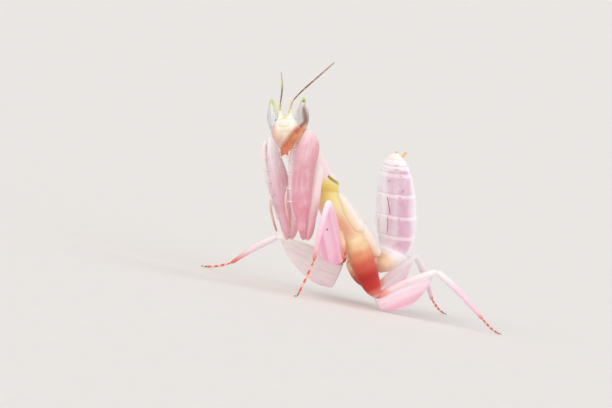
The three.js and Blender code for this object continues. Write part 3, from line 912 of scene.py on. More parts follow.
def eye_paint(name, sign, pale, lavender, outer, low, streak_strength):
    """A pale eye with fine lines that run to a lime point, one broad brown streak and a warm lower end."""
    p = Paint(name, roughness=0.28, soft=0.1, coat=0.35)
    p.shader.inputs["Coat Roughness"].default_value = 0.15
    x, y, z = p.times(p.along, sign), p.across, p.upward
    fan = p.vector(p.times(x, 2.2), p.times(y, 0.8), p.times(z, 0.22))
    lines = p.noise(0.42, where=fan, detail=4.0)
    cloud = p.noise(1.2, where=fan, detail=2.0)
    base = p.mix(p.fade(cloud, 0.35, 0.65), pale, colour(240, 240, 238))
    base = p.mix(p.times(p.fade(lines, 0.46, 0.68), 0.65), base, lavender)
    centre = p.plus(2.0, p.times(p.fade(z, -1.3, 0.8), 1.32))
    centre = p.minus(centre, p.times(p.fade(z, 1.4, 3.2), 0.28))
    past = p.minus(x, centre)
    inside = p.both(p.band(past, -0.75, 0.3, 0.45), p.fade(z, 3.6, 2.2))
    base = p.mix(p.times(inside, streak_strength * 0.45), base, colour(176, 160, 168))
    outside = p.ramp(p.share(z, -1.8, 3.0), (0.0, low), (0.4, outer), (1.0, pale))
    base = p.mix(p.times(p.fade(past, 0.05, 0.35), streak_strength), base, outside)
    base = p.mix(p.times(p.fade(z, 0.5, -1.0), 0.85), base, low)
    off_streak = p.size(p.plus(past, p.times(lines, 0.2)))
    streak = p.both(p.fade(off_streak, 0.5, 0.05), p.fade(z, 3.6, 2.4))
    dark = p.ramp(
        p.share(z, -1.5, 3.0),
        (0.0, colour(186, 98, 72)),
        (0.35, colour(156, 84, 66)),
        (0.6, colour(134, 88, 80)),
        (1.0, colour(142, 116, 106)),
    )
    base = p.mix(p.times(streak, streak_strength), base, dark)
    inner = p.fade(p.plus(x, p.times(z, -0.33)), 1.35, 0.9)
    base = p.mix(p.both(inner, p.fade(z, 0.6, 2.4), 0.6), base, colour(214, 224, 158))
    tip = p.fade(p.plus(z, p.times(p.minus(2.6, x), 0.5)), 3.2, 4.1)
    base = p.mix(tip, base, colour(196, 212, 96))
    spot = p.both(p.spot(p.plus(x, -2.85), p.plus(z, -3.8), 0.08, 0.24), p.fade(y, 0.3, 0.0))
    base = p.mix(p.times(spot, streak_strength), base, colour(84, 108, 26))
    slit = p.both(p.spot(p.times(p.plus(x, -1.72), 2.0), p.plus(z, -0.9), 0.12, 0.2), p.fade(y, 0.3, -0.3))
    base = p.mix(p.times(slit, 0.8), base, colour(90, 74, 62))
    facets = p.nodes.new("ShaderNodeTexVoronoi")
    facets.inputs["Scale"].default_value = 1.0 / (FACET_SIZE * MM)
    p.links.new(p.object, facets.inputs["Vector"])
    return p.finish(base, facets.outputs["Distance"], relief=0.012, strength=0.35)


def make_eyes():
    # The left eye's orange lower end and tan outer side are partly painted shade, as on the left cheek; the
    # right eye keeps its pale tones.
    left = eye_paint(
        "eye, left",
        sign=1,
        pale=colour(222, 222, 214),
        lavender=colour(180, 168, 180),
        outer=colour(230, 206, 156),
        low=colour(206, 138, 96),
        streak_strength=0.95,
    )
    right = eye_paint(
        "eye, right",
        sign=-1,
        pale=colour(216, 222, 218),
        lavender=colour(188, 184, 198),
        outer=colour(210, 212, 212),
        low=colour(224, 202, 190),
        streak_strength=0.15,
    )
    for side, sign, material in (("left", 1, left), ("right", -1, right)):
        eye = mesh_object(f"eye_{side}_lens", on_head(eye_shell(sign)), material)
        dress(eye, "eye", f"eye_{side}")


def make_ocelli():
    """Three small single eyes between the sockets."""
    p = Paint("ocellus", roughness=0.1, coat=0.8)
    bead = p.finish(p.mix(p.noise(0.2), colour(214, 190, 120), colour(236, 220, 170)), relief=0.004)
    centres = ((0, -0.86, 1.2), (0.22, -0.72, 1.5), (-0.22, -0.72, 1.5))
    beads = joined(*[ball(centre, (0.13, 0.1, 0.13), rings=10, sides=14) for centre in centres])
    dress(mesh_object("ocelli", on_head(beads), bead), "eye")


def make_head():
    head = skin("head_skin", on_head(head_shell()), face_paint(), HEAD_GRAIN, smoothing=9)
    dress(head, "skin_cream", "head")
    make_eyes()
    make_ocelli()


def mouth_shells():
    """Segments: 0 the upper lip and the jaws, 1 the palps."""
    lip_rows = [(0, 0.52, 0.24, 0.25), (1, 0.34, 0.2, 0.24)]
    lip = sweep([(0, -1.1, -3.55), (0, -1.2, -4.75)], lip_rows, rings=24, sides=24)
    jaws = [ball((sign * 0.42, -0.92, -4.2), (0.26, 0.3, 0.62)) for sign in (1, -1)]

    def beaded(t, angle):
        return 0.03 * np.cos(t * 18)

    palps = []
    for sign in (1, -1):
        path = [(sign * 0.3, -0.6, -4.4), (sign * 0.58, -0.85, -4.95), (sign * 0.4, -1.12, -5.3)]
        palp_rows = round_rows((0, 0.2), (1, 0.14))
        palps.append(sweep(path, palp_rows, rings=36, sides=16, swell=beaded, segment=1))
    return joined(lip, *jaws, *palps)


def jaw_colour(p):
    cloud = p.noise(0.4)
    base = p.ramp(
        p.share(p.upward, -5.3, -3.6),
        (0.0, colour(226, 176, 150)),
        (0.4, colour(210, 112, 84)),
        (1.0, colour(202, 108, 84)),
    )
    return p.mix(p.times(p.fade(cloud, 0.4, 0.75), 0.3), base, colour(226, 170, 140))


def palp_colour(p):
    return p.mix(p.noise(0.4), colour(240, 206, 180), colour(232, 190, 162))


def make_mouth():
    p = Paint("mouthparts", roughness=0.4)
    material = p.finish(p.blend(0.08, {0: jaw_colour, 1: palp_colour}), relief=0.02)
    mouth = skin("mouth_skin", on_head(mouth_shells()), material, MOUTH_GRAIN, smoothing=2)
    dress(mouth, "skin_orange", "mouthparts")


def antenna_shell(path):
    def jointed(t, angle):
        return 0.012 * np.abs(np.sin(t * math.pi * ANTENNA_JOINTS))

    rows = round_rows((0, 0.2), (0.06, 0.15), (0.5, 0.12), (1, 0.08))
    return sweep(path, rows, rings=260, sides=12, ends=(20, 12), swell=jointed)


def antenna_paint(name, middle, upper, tip):
    """Yellow at the root, then brown, with paler rings where the joints meet."""
    p = Paint(name, roughness=0.55, soft=0.05)
    t = p.along
    bands = p.noise(0.07, where=p.vector(t, 0.0, 0.0), detail=1.0)
    base = p.ramp(
        t,
        (0.0, colour(230, 222, 160)),
        (0.13, colour(214, 198, 124)),
        (0.22, colour(112, 76, 48)),
        (0.5, middle),
        (0.75, upper),
        (1.0, tip),
    )
    base = p.mix(p.times(p.fade(bands, 0.5, 0.64), 0.75), base, colour(200, 166, 104))
    rings = p.veins(p.times(t, ANTENNA_JOINTS * math.pi))
    base = p.mix(p.times(p.fade(rings, 0.3, 0.0), 0.4), base, colour(84, 74, 68))
    return p.finish(base, rings, relief=0.02)


def make_antennae():
    """The left one brown and straight, the right one paler and bent forward."""
    browns = (colour(116, 88, 62), colour(132, 108, 84), colour(150, 134, 112))
    pales = (colour(150, 122, 84), colour(214, 206, 158), colour(226, 222, 196))
    left_path = [
        (SOCKET_SPREAD, -0.95, 2.3),
        (1.36, -1.2, 3.6),
        (2.45, -0.9, 5.0),
        (4.1, -0.3, 6.65),
        (7.3, 1.45, 10.02),
    ]
    right_path = [
        (-SOCKET_SPREAD, -0.95, 2.3),
        (-0.4, -1.9, 3.5),
        (0.1, -2.8, 4.2),
        (1.4, -5.6, 5.85),
        (2.28, -8.3, 7.35),
    ]
    for side, shades, path in (("left", browns, left_path), ("right", pales, right_path)):
        shell = on_head(antenna_shell(path), keep_place=True)
        feeler = mesh_object(f"antenna_{side}_thread", shell, antenna_paint(f"antenna, {side}", *shades))
        dress(feeler, "antenna", f"antenna_{side}")


# ---- Trunk --------------------------------------------------------------------------------------

PRONOTUM_GIRTHS = [
    (0, 1.3, 1.2, 0.9),
    (0.15, 1.9, 1.7, 1.4),
    (0.4, 2.45, 1.95, 1.9),
    (0.65, 2.3, 1.9, 1.9),
    (0.85, 2.1, 1.6, 1.2),
    (1, 1.4, 0.9, 0.6),
]
THORAX_GIRTHS = [
    (0, 1.4, 1.3, 1.5),
    (0.2, 2.2, 2.1, 2.2),
    (0.5, 2.75, 2.55, 2.6),
    (0.8, 2.8, 2.6, 2.8),
    (1, 2.1, 1.9, 2.0),
]


def pronotum_relief(t, angle):
    """A saddle: a low crest along the middle, a groove across it and a raised rim at the rear."""
    back = np.clip(np.sin(angle), 0, 1)
    crest = 0.1 * np.exp(-((np.cos(angle) / 0.22) ** 2)) * back
    groove = -0.14 * bump_at(t, 0.42, 0.05) * back
    rim = 0.12 * bump_at(t, 0.93, 0.05)
    return crest + groove + rim


def thorax_relief(t, angle):
    """Soft folds in the flanks where the plates meet."""
    flank = np.exp(-(((np.abs(np.cos(angle)) - 0.85) / 0.4) ** 2))
    folds = bump_at(t, 0.3, 0.025) + bump_at(t, 0.52, 0.03) + bump_at(t, 0.76, 0.025)
    return -0.05 * folds * flank


def neck_colour(p):
    return p.mix(p.noise(1.6), colour(248, 230, 214), colour(242, 208, 192))


def pronotum_colour(p):
    """Pinkish white, yellow low at the rear, with a green band along the rear margin."""
    t, across, upward = p.along, p.across, p.upward
    base = p.mix(p.noise(1.6), colour(254, 242, 243), colour(250, 230, 230))
    base = p.mix(p.times(p.fade(p.size(across), 0.6, 2.2), 0.5), base, colour(248, 218, 220))
    yellow = p.mix(p.fade(t, 0.5, 0.75), colour(252, 234, 204), colour(246, 222, 126))
    low_rear = p.both(p.fade(p.plus(t, p.times(upward, -0.35)), 0.55, 0.8), p.fade(t, 0.35, 0.6))
    base = p.mix(low_rear, base, yellow)
    margin = p.plus(t, p.plus(p.times(upward, -0.476), -0.478))
    margin_band = p.both(p.band(margin, -0.02, 0.1, 0.05), p.fade(upward, 0.05, 0.3), p.fade(t, 0.6, 0.64))
    rear_band = p.both(p.band(t, 0.93, 0.018, 0.014), p.fade(upward, 0.8, 1.1))
    green = p.ramp(
        p.share(t, 0.6, 0.95),
        (0.0, colour(146, 80, 34)),
        (0.2, colour(170, 152, 20)),
        (0.55, colour(158, 168, 20)),
        (1.0, colour(200, 212, 80)),
    )
    return p.mix(p.math("MAXIMUM", margin_band, rear_band), base, green)


def thorax_colour(p):
    """Yellow in front, cream, then tan to the rear, white along the back."""
    t, upward = p.along, p.upward
    cloud = p.noise(1.2)
    base = p.ramp(
        t,
        (0.0, colour(246, 222, 122)),
        (0.13, colour(248, 228, 148)),
        (0.28, colour(250, 229, 188)),
        (0.45, colour(247, 210, 172)),
        (0.62, colour(250, 216, 178)),
        (1.0, colour(240, 176, 150)),
    )
    low = p.both(p.fade(upward, 0.2, -1.0), p.band(t, 0.42, 0.06, 0.14))
    base = p.mix(p.times(low, 0.6), base, colour(232, 152, 124))
    base = p.mix(p.times(p.fade(cloud, 0.4, 0.8), 0.25), base, colour(254, 238, 208))
    ridge = p.both(p.fade(upward, 0.9, 1.7), p.fade(t, 0.1, 0.2))
    base = p.mix(ridge, base, colour(250, 238, 226))
    return p.mix(p.times(p.fade(upward, -1.2, -2.2), 0.5), base, colour(242, 200, 180))


def neck_folds(t, angle):
    return 0.05 * np.cos(t * 40)


def trunk_shells():
    """Segments: 0 the neck, 1 the pronotum, 2 the thorax with a collar that fills the joint before it."""
    neck_path = [(0, -19.2, 23.0), (0.1, -21.1, 24.7), (0.35, -22.8, 25.9)]
    neck = sweep(neck_path, [(0, 1.1, 0.9, 0.9), (1, 0.8, 0.8, 0.8)], ends=(40, 30), swell=neck_folds)
    fine = {"rings": 90, "sides": 64}
    pronotum = sweep(PRONOTUM_PATH, PRONOTUM_GIRTHS, ends=(45, 50), swell=pronotum_relief, segment=1, **fine)
    thorax = sweep(THORAX_PATH, THORAX_GIRTHS, ends=(45, 45), swell=thorax_relief, segment=2, **fine)
    collar = ball((0, -12.5, 16.0), (1.7, 1.5, 1.3), segment=2)
    collar.place[:] = (0.02, 0, 0)
    return neck, pronotum, thorax, collar


def pad_shell(sign, start, end, low, high):
    """A wing pad: a leaf laid on the thorax from one share of its length to another, between two angles.

    The place stored at each point is its share of the pad's length, its share of the half width, and its lift
    off the thorax.
    """
    line, read = Line(THORAX_PATH), girth(THORAX_GIRTHS)
    lengthwise, crosswise = 60, 33
    u = np.linspace(0, 1, lengthwise)
    t = start + (end - start) * u
    upward = np.cross((1.0, 0, 0), line.tangent(t))
    tail = np.where(u > 0.75, np.sqrt(np.clip(1 - ((u - 0.75) / 0.25) ** 2, 0, 1)), 1.0)
    front = np.sin(np.clip(u / 0.55, 0, 1) * math.pi / 2)
    middle, half = math.radians((low + high) / 2), math.radians((high - low) / 2)
    v = np.linspace(-1, 1, crosswise)
    wide, above, below = read(t).T
    ends = np.sqrt(np.clip(1 - u**10, 0, 1)) * np.sqrt(np.clip(1 - (1 - u) ** 14, 0, 1))
    edges = np.where(v < 0, np.sqrt(np.clip(1 - v**4, 0, 1)), np.clip(1 - v**2, 0, 1) ** 0.8)
    rim = edges[None, :] * ends[:, None]
    dip = np.tile(0.12 * np.clip(v, 0, 1) ** 8, (lengthwise, 1))
    widening = np.where(v > 0, (0.25 + 0.75 * front)[:, None], (0.85 + 0.15 * front)[:, None])
    angle = middle + half * tail[:, None] * widening * v[None, :]
    heights = np.where(np.cos(angle) > 0, above[:, None], below[:, None])
    grid_u, grid_v = np.meshgrid(u, v, indexing="ij")
    layers = []
    for lift in ((PAD_RISE + 0.06) * rim + 0.02 - dip, -0.28 * rim - dip):
        raised = ((heights + lift) * np.cos(angle))[..., None]
        points = line.point(t)[:, None, :] + raised * upward[:, None, :]
        points[..., 0] += (wide[:, None] + lift) * np.sin(angle) * sign
        layers.append((points, np.stack([grid_u, grid_v, lift], axis=-1)))
    (outer, outer_place), (inner, inner_place) = layers
    rings = np.concatenate([outer, inner[:, -2:0:-1]], axis=1)
    place = np.concatenate([outer_place, inner_place[:, -2:0:-1]], axis=1)
    first, last = rings[0].mean(axis=0), rings[-1].mean(axis=0)
    return closed_rings(rings[:-1], first, last, place[:-1], (0, 0, 0), (1, 0, 0))


def pad_paint(name, pale, lower, foot):
    """White shell with fine lengthwise veins, which takes the flank's colour towards its lower edge."""
    p = Paint(name, roughness=0.4, soft=0.15)
    t, across = p.along, p.across
    veins = p.veins(p.times(p.plus(across, p.times(t, 0.25)), 11.0))
    base = p.mix(p.fade(p.noise(1.0), 0.3, 0.75), pale, colour(252, 238, 232))
    edge = p.mix(t, lower, foot)
    base = p.mix(p.fade(p.plus(across, p.times(p.noise(0.8), 0.3)), 0.25, 1.15), base, edge)
    base = p.mix(p.times(p.fade(veins, 0.3, 0.0), 0.1), base, colour(226, 178, 160))
    return p.finish(base, veins, relief=0.02, strength=0.3)


def make_pads():
    fore = pad_paint("forewing pad", colour(254, 249, 244), colour(246, 226, 168), colour(246, 208, 166))
    hind = pad_paint("hindwing pad", colour(254, 246, 240), colour(250, 224, 184), colour(240, 184, 150))
    pads = (("forewing_pad", fore, 0.14, 0.62, 6, 96), ("hindwing_pad", hind, 0.5, 0.96, 6, 90))
    for side, sign in (("left", 1), ("right", -1)):
        for name, material, *reach in pads:
            pad = mesh_object(f"{name}_{side}_shell", pad_shell(sign, *reach), material)
            dress(pad, "skin_white", f"{name}_{side}")


# ---- Abdomen ------------------------------------------------------------------------------------

ABDOMEN_GIRTHS = [
    (0, 1.7, 1.2, 1.2),
    (0.12, 2.4, 1.6, 1.6),
    (0.3, 3.5, 1.7, 1.9),
    (0.5, 4.0, 1.75, 1.9),
    (0.66, 3.85, 1.7, 1.8),
    (0.82, 3.2, 1.5, 1.6),
    (0.93, 2.3, 1.15, 1.25),
    (1, 1.75, 0.95, 1.05),
]
RING_EDGES = (0.12, 0.25, 0.385, 0.535, 0.7, 0.855, 0.905, 0.95)
BACK_COLUMNS = (  # distance across, strength, start and end as shares of the length
    (2.25, 0.75, 0.2, 0.92),
    (-2.2, 0.2, 0.2, 0.92),
    (0.1, 0.5, 0.3, 0.9),
)
BACK_SPOTS = (  # share of the length, distance across, size, strength
    (0.8, -0.1, 0.32, 0.5),
    (0.683, 2.05, 0.26, 0.75),
    (0.735, 2.5, 0.4, 0.45),
    (0.845, 2.1, 0.36, 0.3),
    (0.52, 1.95, 0.28, 0.5),
    # The next two, wide and flattened, are painted shadows cast by the ring edges near the tip.
    (0.888, 1.2, 0.8, 0.45),
    (0.918, 1.0, 0.7, 0.35),
)


def abdomen_side(t):
    """The direction of the abdomen's width, which turns as the abdomen rises."""
    share = min(max((t - 0.1) / 0.4, 0), 1)
    turned = math.radians(ABDOMEN_TWIST) * share * share * (3 - 2 * share)
    return (math.cos(turned), math.sin(turned), 0)


def abdomen_relief(t, angle):
    """Each ring widens towards its rear edge and steps down to the next."""
    edges = np.array([0.0, *RING_EDGES, 1.02])
    i = np.clip(np.searchsorted(edges, t) - 1, 0, len(edges) - 2)
    share = (t - edges[i]) / (edges[i + 1] - edges[i])
    step = 0.13 * share**3 - 0.05
    flange = 0.06 * np.abs(np.cos(angle)) ** 6 * np.sin(share * math.pi)
    return step + flange


def abdomen_wash(p, on_back):
    """White, combed with lilac over the left of the back and in columns of soft mauve patches."""
    t, across, upward = p.along, p.across, p.upward
    sides = p.both(p.fade(across, -2.0, 2.2), p.fade(across, 4.4, 3.2))
    shaded = p.both(sides, p.fade(t, 0.22, 0.3), p.fade(t, 0.93, 0.86))
    combing = p.vector(p.times(t, 2.0), p.times(across, 0.5), p.times(upward, 0.3))
    brush = p.noise(0.5, where=combing, detail=4.0)
    base = p.mix(p.noise(1.5), colour(253, 253, 255), colour(246, 241, 249))
    combed = p.plus(0.42, p.times(p.fade(brush, 0.3, 0.7), 0.45))
    base = p.mix(p.both(shaded, on_back, combed), base, colour(216, 168, 194))
    patchy = p.fade(p.noise(1.1, detail=2.0), 0.25, 0.7)
    for middle, strength, start, end in BACK_COLUMNS:
        lengthwise = p.both(p.fade(t, start, start + 0.12), p.fade(t, end, end - 0.06))
        column = p.both(p.band(across, middle, 0.2, 0.8), lengthwise, patchy)
        base = p.mix(p.both(column, on_back, strength), base, colour(214, 164, 190))
    return p.mix(p.times(p.fade(brush, 0.45, 0.75), 0.3), base, colour(232, 200, 218))


def ring_margins(p, base):
    """A white edge on each ring, a painted highlight, and a mauve band just behind it, a painted shadow under
    the ring's step.
    """
    t, across = p.along, p.across
    fine = p.noise(0.5, detail=5.0)
    for edge in RING_EDGES:
        shade = p.both(p.band(t, edge + 0.008, 0.002, 0.006), p.band(across, 0.0, 2.6, 1.2))
        base = p.mix(p.times(shade, 0.35), base, colour(206, 160, 182))
        # Painted highlight along the ring's edge.
        shine = p.band(p.plus(t, p.times(fine, 0.012)), edge - 0.006, 0.006, 0.012)
        base = p.mix(p.times(shine, 0.5), base, colour(255, 252, 254))
    return base


def back_lines(p, base, on_back):
    """Two red-brown dashes down the back, the upper one slanting, and an orange thread at their right."""
    t, across = p.along, p.across
    slant = p.times(p.share(t, 0.68, 0.545), 0.53)
    drift = p.plus(slant, p.times(p.fade(t, 0.542, 0.538), -0.47))
    stroke = p.band(p.minus(across, drift), -0.36, 0.035, 0.13)
    dashes = p.math("ADD", p.band(t, 0.615, 0.058, 0.012), p.band(t, 0.465, 0.05, 0.02), clamp=True)
    red = p.mix(p.fade(t, 0.5, 0.6), colour(214, 92, 80), colour(150, 62, 58))
    base = p.mix(p.both(stroke, dashes, on_back, 0.85), base, red)
    thread = p.both(p.band(across, -2.5, 0.02, 0.12), p.band(t, 0.45, 0.04, 0.02), on_back)
    return p.mix(p.times(thread, 0.7), base, colour(226, 140, 90))


def back_spots(p, base, on_back):
    """Mauve spots on the left of the back, and the same ones fainter on the right; the wide flattened ones
    are painted shadows of ring edges.
    """
    t, across = p.along, p.across
    for where, off, size, strength in BACK_SPOTS:
        flatness = 3.0 if size > 0.6 else 1.0
        rise = p.times(p.plus(t, -where), ABDOMEN_LENGTH * flatness)
        for sign, share in ((1, 1.0), (-1, 0.4)):
            spot = p.spot(p.plus(across, -off * sign), rise, size * 0.15, size * 0.75)
            base = p.mix(p.both(spot, on_back, strength * share), base, colour(180, 106, 134))
    return base


def abdomen_colour(p):
    """White to lilac, with its back's markings; cream at the tip and tan at the root."""
    t = p.along
    on_back = p.fade(p.upward, 0.0, 0.4)
    base = ring_margins(p, abdomen_wash(p, on_back))
    base = back_spots(p, back_lines(p, base, on_back), on_back)
    base = p.mix(p.times(p.fade(t, 0.93, 0.985), 0.8), base, colour(253, 248, 236))
    return p.mix(p.times(p.fade(t, 0.24, 0.1), 0.8), base, colour(236, 196, 146))


def abdomen_shells():
    """Segment 3: the rings, and a filler that joins their root to the thorax."""
    fine = {"rings": 220, "sides": 80, "ends": (40, 40)}
    rings = sweep(ABDOMEN_PATH, ABDOMEN_GIRTHS, side=abdomen_side, swell=abdomen_relief, segment=3, **fine)
    root = ball((0, -2.9, 7.4), (1.9, 1.4, 1.5), segment=3)
    root.place[:] = (0.05, 0, 0)
    return rings, root


def cercus_beads(t, angle):
    return 0.035 * np.abs(np.sin(t * math.pi * 6))


def make_cerci():
    p = Paint("cercus", roughness=0.45)
    base = p.ramp(
        p.along,
        (0.0, colour(246, 220, 190)),
        (0.5, colour(242, 206, 150)),
        (1.0, colour(236, 180, 120)),
    )
    base = p.mix(p.times(p.fade(p.noise(0.2), 0.5, 0.8), 0.4), base, colour(206, 120, 80))
    material = p.finish(base, relief=0.02)
    rows = round_rows((0, 0.27), (1, 0.16))
    for side, sign in (("left", 1), ("right", -1)):
        root = np.array([sign * 0.75 + 0.1, -1.9 + sign * 0.25, 23.85 + sign * 0.15])
        tip = root + (sign * 0.22 + 0.12, 0.8, 1.45)
        cercus = sweep([root, tip], rows, rings=60, sides=20, swell=cercus_beads)
        dress(mesh_object(f"cercus_{side}_feeler", cercus, material), "skin_orange", f"cercus_{side}")


# ---- Body skin ----------------------------------------------------------------------------------


def coxa_folds(t, angle):
    return -0.05 * (bump_at(t, 0.3, 0.05) + bump_at(t, 0.72, 0.05))


def coxa_shell(path, rows, segment):
    return sweep(path, rows, rings=60, sides=40, swell=coxa_folds, segment=segment)


def fore_coxa_colour(p):
    base = p.ramp(
        p.along,
        (0.0, colour(252, 240, 238)),
        (0.3, colour(250, 226, 226)),
        (0.7, colour(244, 206, 212)),
        (1.0, colour(236, 184, 190)),
    )
    return p.mix(p.times(p.fade(p.noise(0.5), 0.5, 0.8), 0.3), base, colour(252, 238, 236))


def flush(p, base):
    """A soft darker flush in patches."""
    return p.mix(p.times(p.fade(p.noise(1.4), 0.4, 0.8), 0.2), base, colour(178, 50, 36))


def middle_coxa_colour(p):
    """Cream and tan, red only towards the joint."""
    base = p.ramp(
        p.along,
        (0.0, colour(252, 232, 194)),
        (0.45, colour(249, 218, 172)),
        (0.68, colour(238, 166, 122)),
        (0.84, colour(212, 84, 62)),
        (1.0, colour(240, 186, 172)),
    )
    return flush(p, base)


def hind_coxa_colour(p):
    """Cream at the root, through orange to deep red, and pale pink at the joint."""
    base = p.ramp(
        p.along,
        (0.0, colour(252, 232, 194)),
        (0.15, colour(249, 216, 168)),
        (0.29, colour(235, 156, 112)),
        (0.45, colour(214, 92, 66)),
        (0.62, colour(190, 32, 24)),
        (0.8, colour(202, 48, 38)),
        (0.9, colour(224, 120, 110)),
        (1.0, colour(246, 214, 210)),
    )
    return flush(p, base)


def coxa_shells():
    """Segments: 4 the fore coxae, 5 the middle ones, 6 the hind ones."""
    fore_rows = [(0, 1.2, 1.5, 1.2), (0.3, 1.15, 1.25, 1.2), (0.8, 0.85, 0.95, 0.95), (1, 0.75, 0.8, 0.8)]
    coxae = [coxa_shell(leg["coxa"], fore_rows, 4) for leg in FORELEGS.values()]
    for name, leg in WALKING_LEGS.items():
        thick = leg["girth"]
        rows = [
            (0, thick * 0.85, thick * 0.85, thick * 0.85),
            (0.4, thick, thick * 0.95, thick),
            (0.75, thick * 0.78, thick * 0.78, thick * 0.82),
            (1, thick * 0.45, thick * 0.45, thick * 0.45),
        ]
        coxae.append(coxa_shell(leg["coxa"], rows, 5 if name.startswith("mid") else 6))
    return coxae


def make_body():
    """Neck, trunk, abdomen and the six coxae under one skin."""
    p = Paint("body cuticle", roughness=0.42, soft=0.16)
    paints = {
        0: neck_colour,
        1: pronotum_colour,
        2: thorax_colour,
        3: abdomen_colour,
        4: fore_coxa_colour,
        5: middle_coxa_colour,
        6: hind_coxa_colour,
    }
    material = p.finish(p.blend(0.35, paints), relief=0.03)
    shells = joined(*trunk_shells(), *abdomen_shells(), *coxa_shells())
    body = skin("body_skin", shells, material, BODY_GRAIN, smoothing=4)
    covered = ["neck", "pronotum", "mesothorax", "metathorax"]
    covered += [f"abdomen_{i}" for i in range(1, 7)]
    covered += [f"foreleg_{side}_coxa" for side in FORELEGS]
    covered += [f"{name}_coxa" for name in WALKING_LEGS]
    dress(body, "skin_yellow", *covered)


# ---- Raptorial forelegs -------------------------------------------------------------------------


def femur_rows(deep, knee_back):
    """Girths of a raptorial femur; knee_back is how much of its depth it keeps behind the knee."""
    return [
        (0, 0.6, 0.6, 0.6),
        (0.12, 0.75, 0.8, 0.8),
        (0.35, 1.05, deep * 0.88, deep * 0.8),
        (0.6, 1.15, deep, deep),
        (0.85, 1.1, deep * 0.85, deep * knee_back),
        (1, 0.9, deep * 0.7, deep * knee_back * 0.85),
    ]


def femur_relief(t, angle):
    """A groove for the tibia between the rows of spines, and flat sides."""
    groove = np.exp(-((np.cos(angle) / 0.3) ** 2)) * np.clip(np.sin(angle), 0, 1)
    shallow = np.clip((t - 0.1) / 0.15, 0, 1) * np.clip((1.02 - t) / 0.1, 0, 1)
    waist = bump_at(t, 0.07, 0.03)
    return -0.34 * groove * shallow - 0.1 * waist


def beside(line, spined, t, reach):
    """A point beside a line, at a reach towards the spined side."""
    return line.point(t) + square_to(line.tangent(t), spined) * reach


def femur_paint(name, stops, rosy):
    """Pale at the knee, partly a painted highlight on its lit top, rosier below, with fine streaks; rosy is
    how strong the painted shade down its back is.
    """
    p = Paint(name, roughness=0.4, soft=0.2)
    t, across, upward = p.along, p.across, p.upward
    streaks = p.noise(0.35, where=p.vector(p.times(t, 1.6), across, upward), detail=4.0)
    wash = p.noise(1.6)
    base = p.ramp(t, *stops)
    base = p.mix(p.times(p.fade(wash, 0.35, 0.8), 0.35), base, colour(252, 236, 242))
    base = p.mix(p.times(p.fade(streaks, 0.48, 0.72), 0.4), base, colour(226, 160, 178))
    base = p.mix(p.times(p.fade(streaks, 0.46, 0.28), 0.35), base, colour(252, 238, 240))
    # Painted shade down the back of the femur.
    back = p.both(p.fade(p.plus(upward, p.times(p.noise(1.2), 0.5)), -0.7, -1.4), p.fade(t, 0.97, 0.8))
    base = p.mix(p.times(back, rosy), base, colour(220, 148, 154))
    # A painted highlight along the spined edge.
    edge = p.fade(upward, 1.3, 1.75)
    base = p.mix(p.times(edge, 0.7), base, colour(252, 240, 240))
    return p.finish(base, relief=0.025)


def spine_paint():
    p = Paint("spine", roughness=0.35, soft=0.2)
    base = p.mix(p.fade(p.noise(0.3), 0.3, 0.7), colour(250, 238, 236), colour(240, 206, 210))
    return p.finish(base, relief=0.01)


def femur_spines(side, line, leg, read, material):
    """Two rows of spines along the femur's lower edge, and the small saw teeth between them."""
    spined, across_way = np.array(leg["spined"]), femur_width_way(line, leg)
    saw_places = np.linspace(0.2, leg["saw_end"], SAW_TEETH)
    kinds = {
        "spines": (SPINE_PLACES, 0.7, 0.45, 0.3, 0.15, 0.2),
        "serration": (saw_places, 0.8, 0.32, 0.0, 0.1, 0.3),
    }
    for kind, (places, sunk, reach, deeper, splay, slimness) in kinds.items():
        roots, tips = [], []
        for row in (-1, 1):
            for t in places:
                wide, above, _ = read(t)
                axis = line.tangent(t)
                across, edge = square_to(axis, across_way(t)), square_to(axis, spined)
                root = line.point(t) + across * row * wide * 0.5 + edge * above * sunk
                roots.append(root)
                tips.append(root + edge * (reach + above * deeper) + across * row * splay)
        dress(spines(f"foreleg_{side}_{kind}", roots, tips, slimness, material), "skin_rose")


def femur_width_way(line, leg):
    """The direction of the femur's width as a function of the share of its length."""
    return lambda t: np.cross(line.tangent(t), np.array(leg["spined"]))


def saw_edge(t, angle):
    return 0.1 * np.maximum(0, np.sin(t * 75)) * np.maximum(0, np.sin(angle)) ** 4


def tibia_and_foot(line, leg):
    """The tibia, folded against the femur's spined side, as segment 0, and its foot as segment 1."""
    spined, deep = np.array(leg["spined"]), leg["depth"]
    tibia_end = 0.97 - FORE_TIBIA_LENGTH / line.length
    path = [
        beside(line, spined, 0.98, deep * 0.45),
        beside(line, spined, 0.9, deep * 0.74),
        beside(line, spined, 0.72, deep * 0.84),
        beside(line, spined, tibia_end, deep * 0.78),
    ]
    rows = [(0, 0.55, 0.5, 0.5), (0.3, 0.5, 0.5, 0.5), (0.8, 0.42, 0.45, 0.45), (1, 0.28, 0.28, 0.28)]
    width_way = tuple(np.cross(line.tangent(0.7), spined))
    tibia = sweep(path, rows, side=width_way, rings=150, sides=32, ends=(45, 35), swell=saw_edge)
    steps = ((0.01, 0.12), (-0.1, 0.3), (-0.22, 0.1), (-0.32, -0.2))
    toe = [beside(line, spined, tibia_end + rise, deep + out) for rise, out in steps]
    return joined(tibia, tarsus_shell(toe, segment=1))


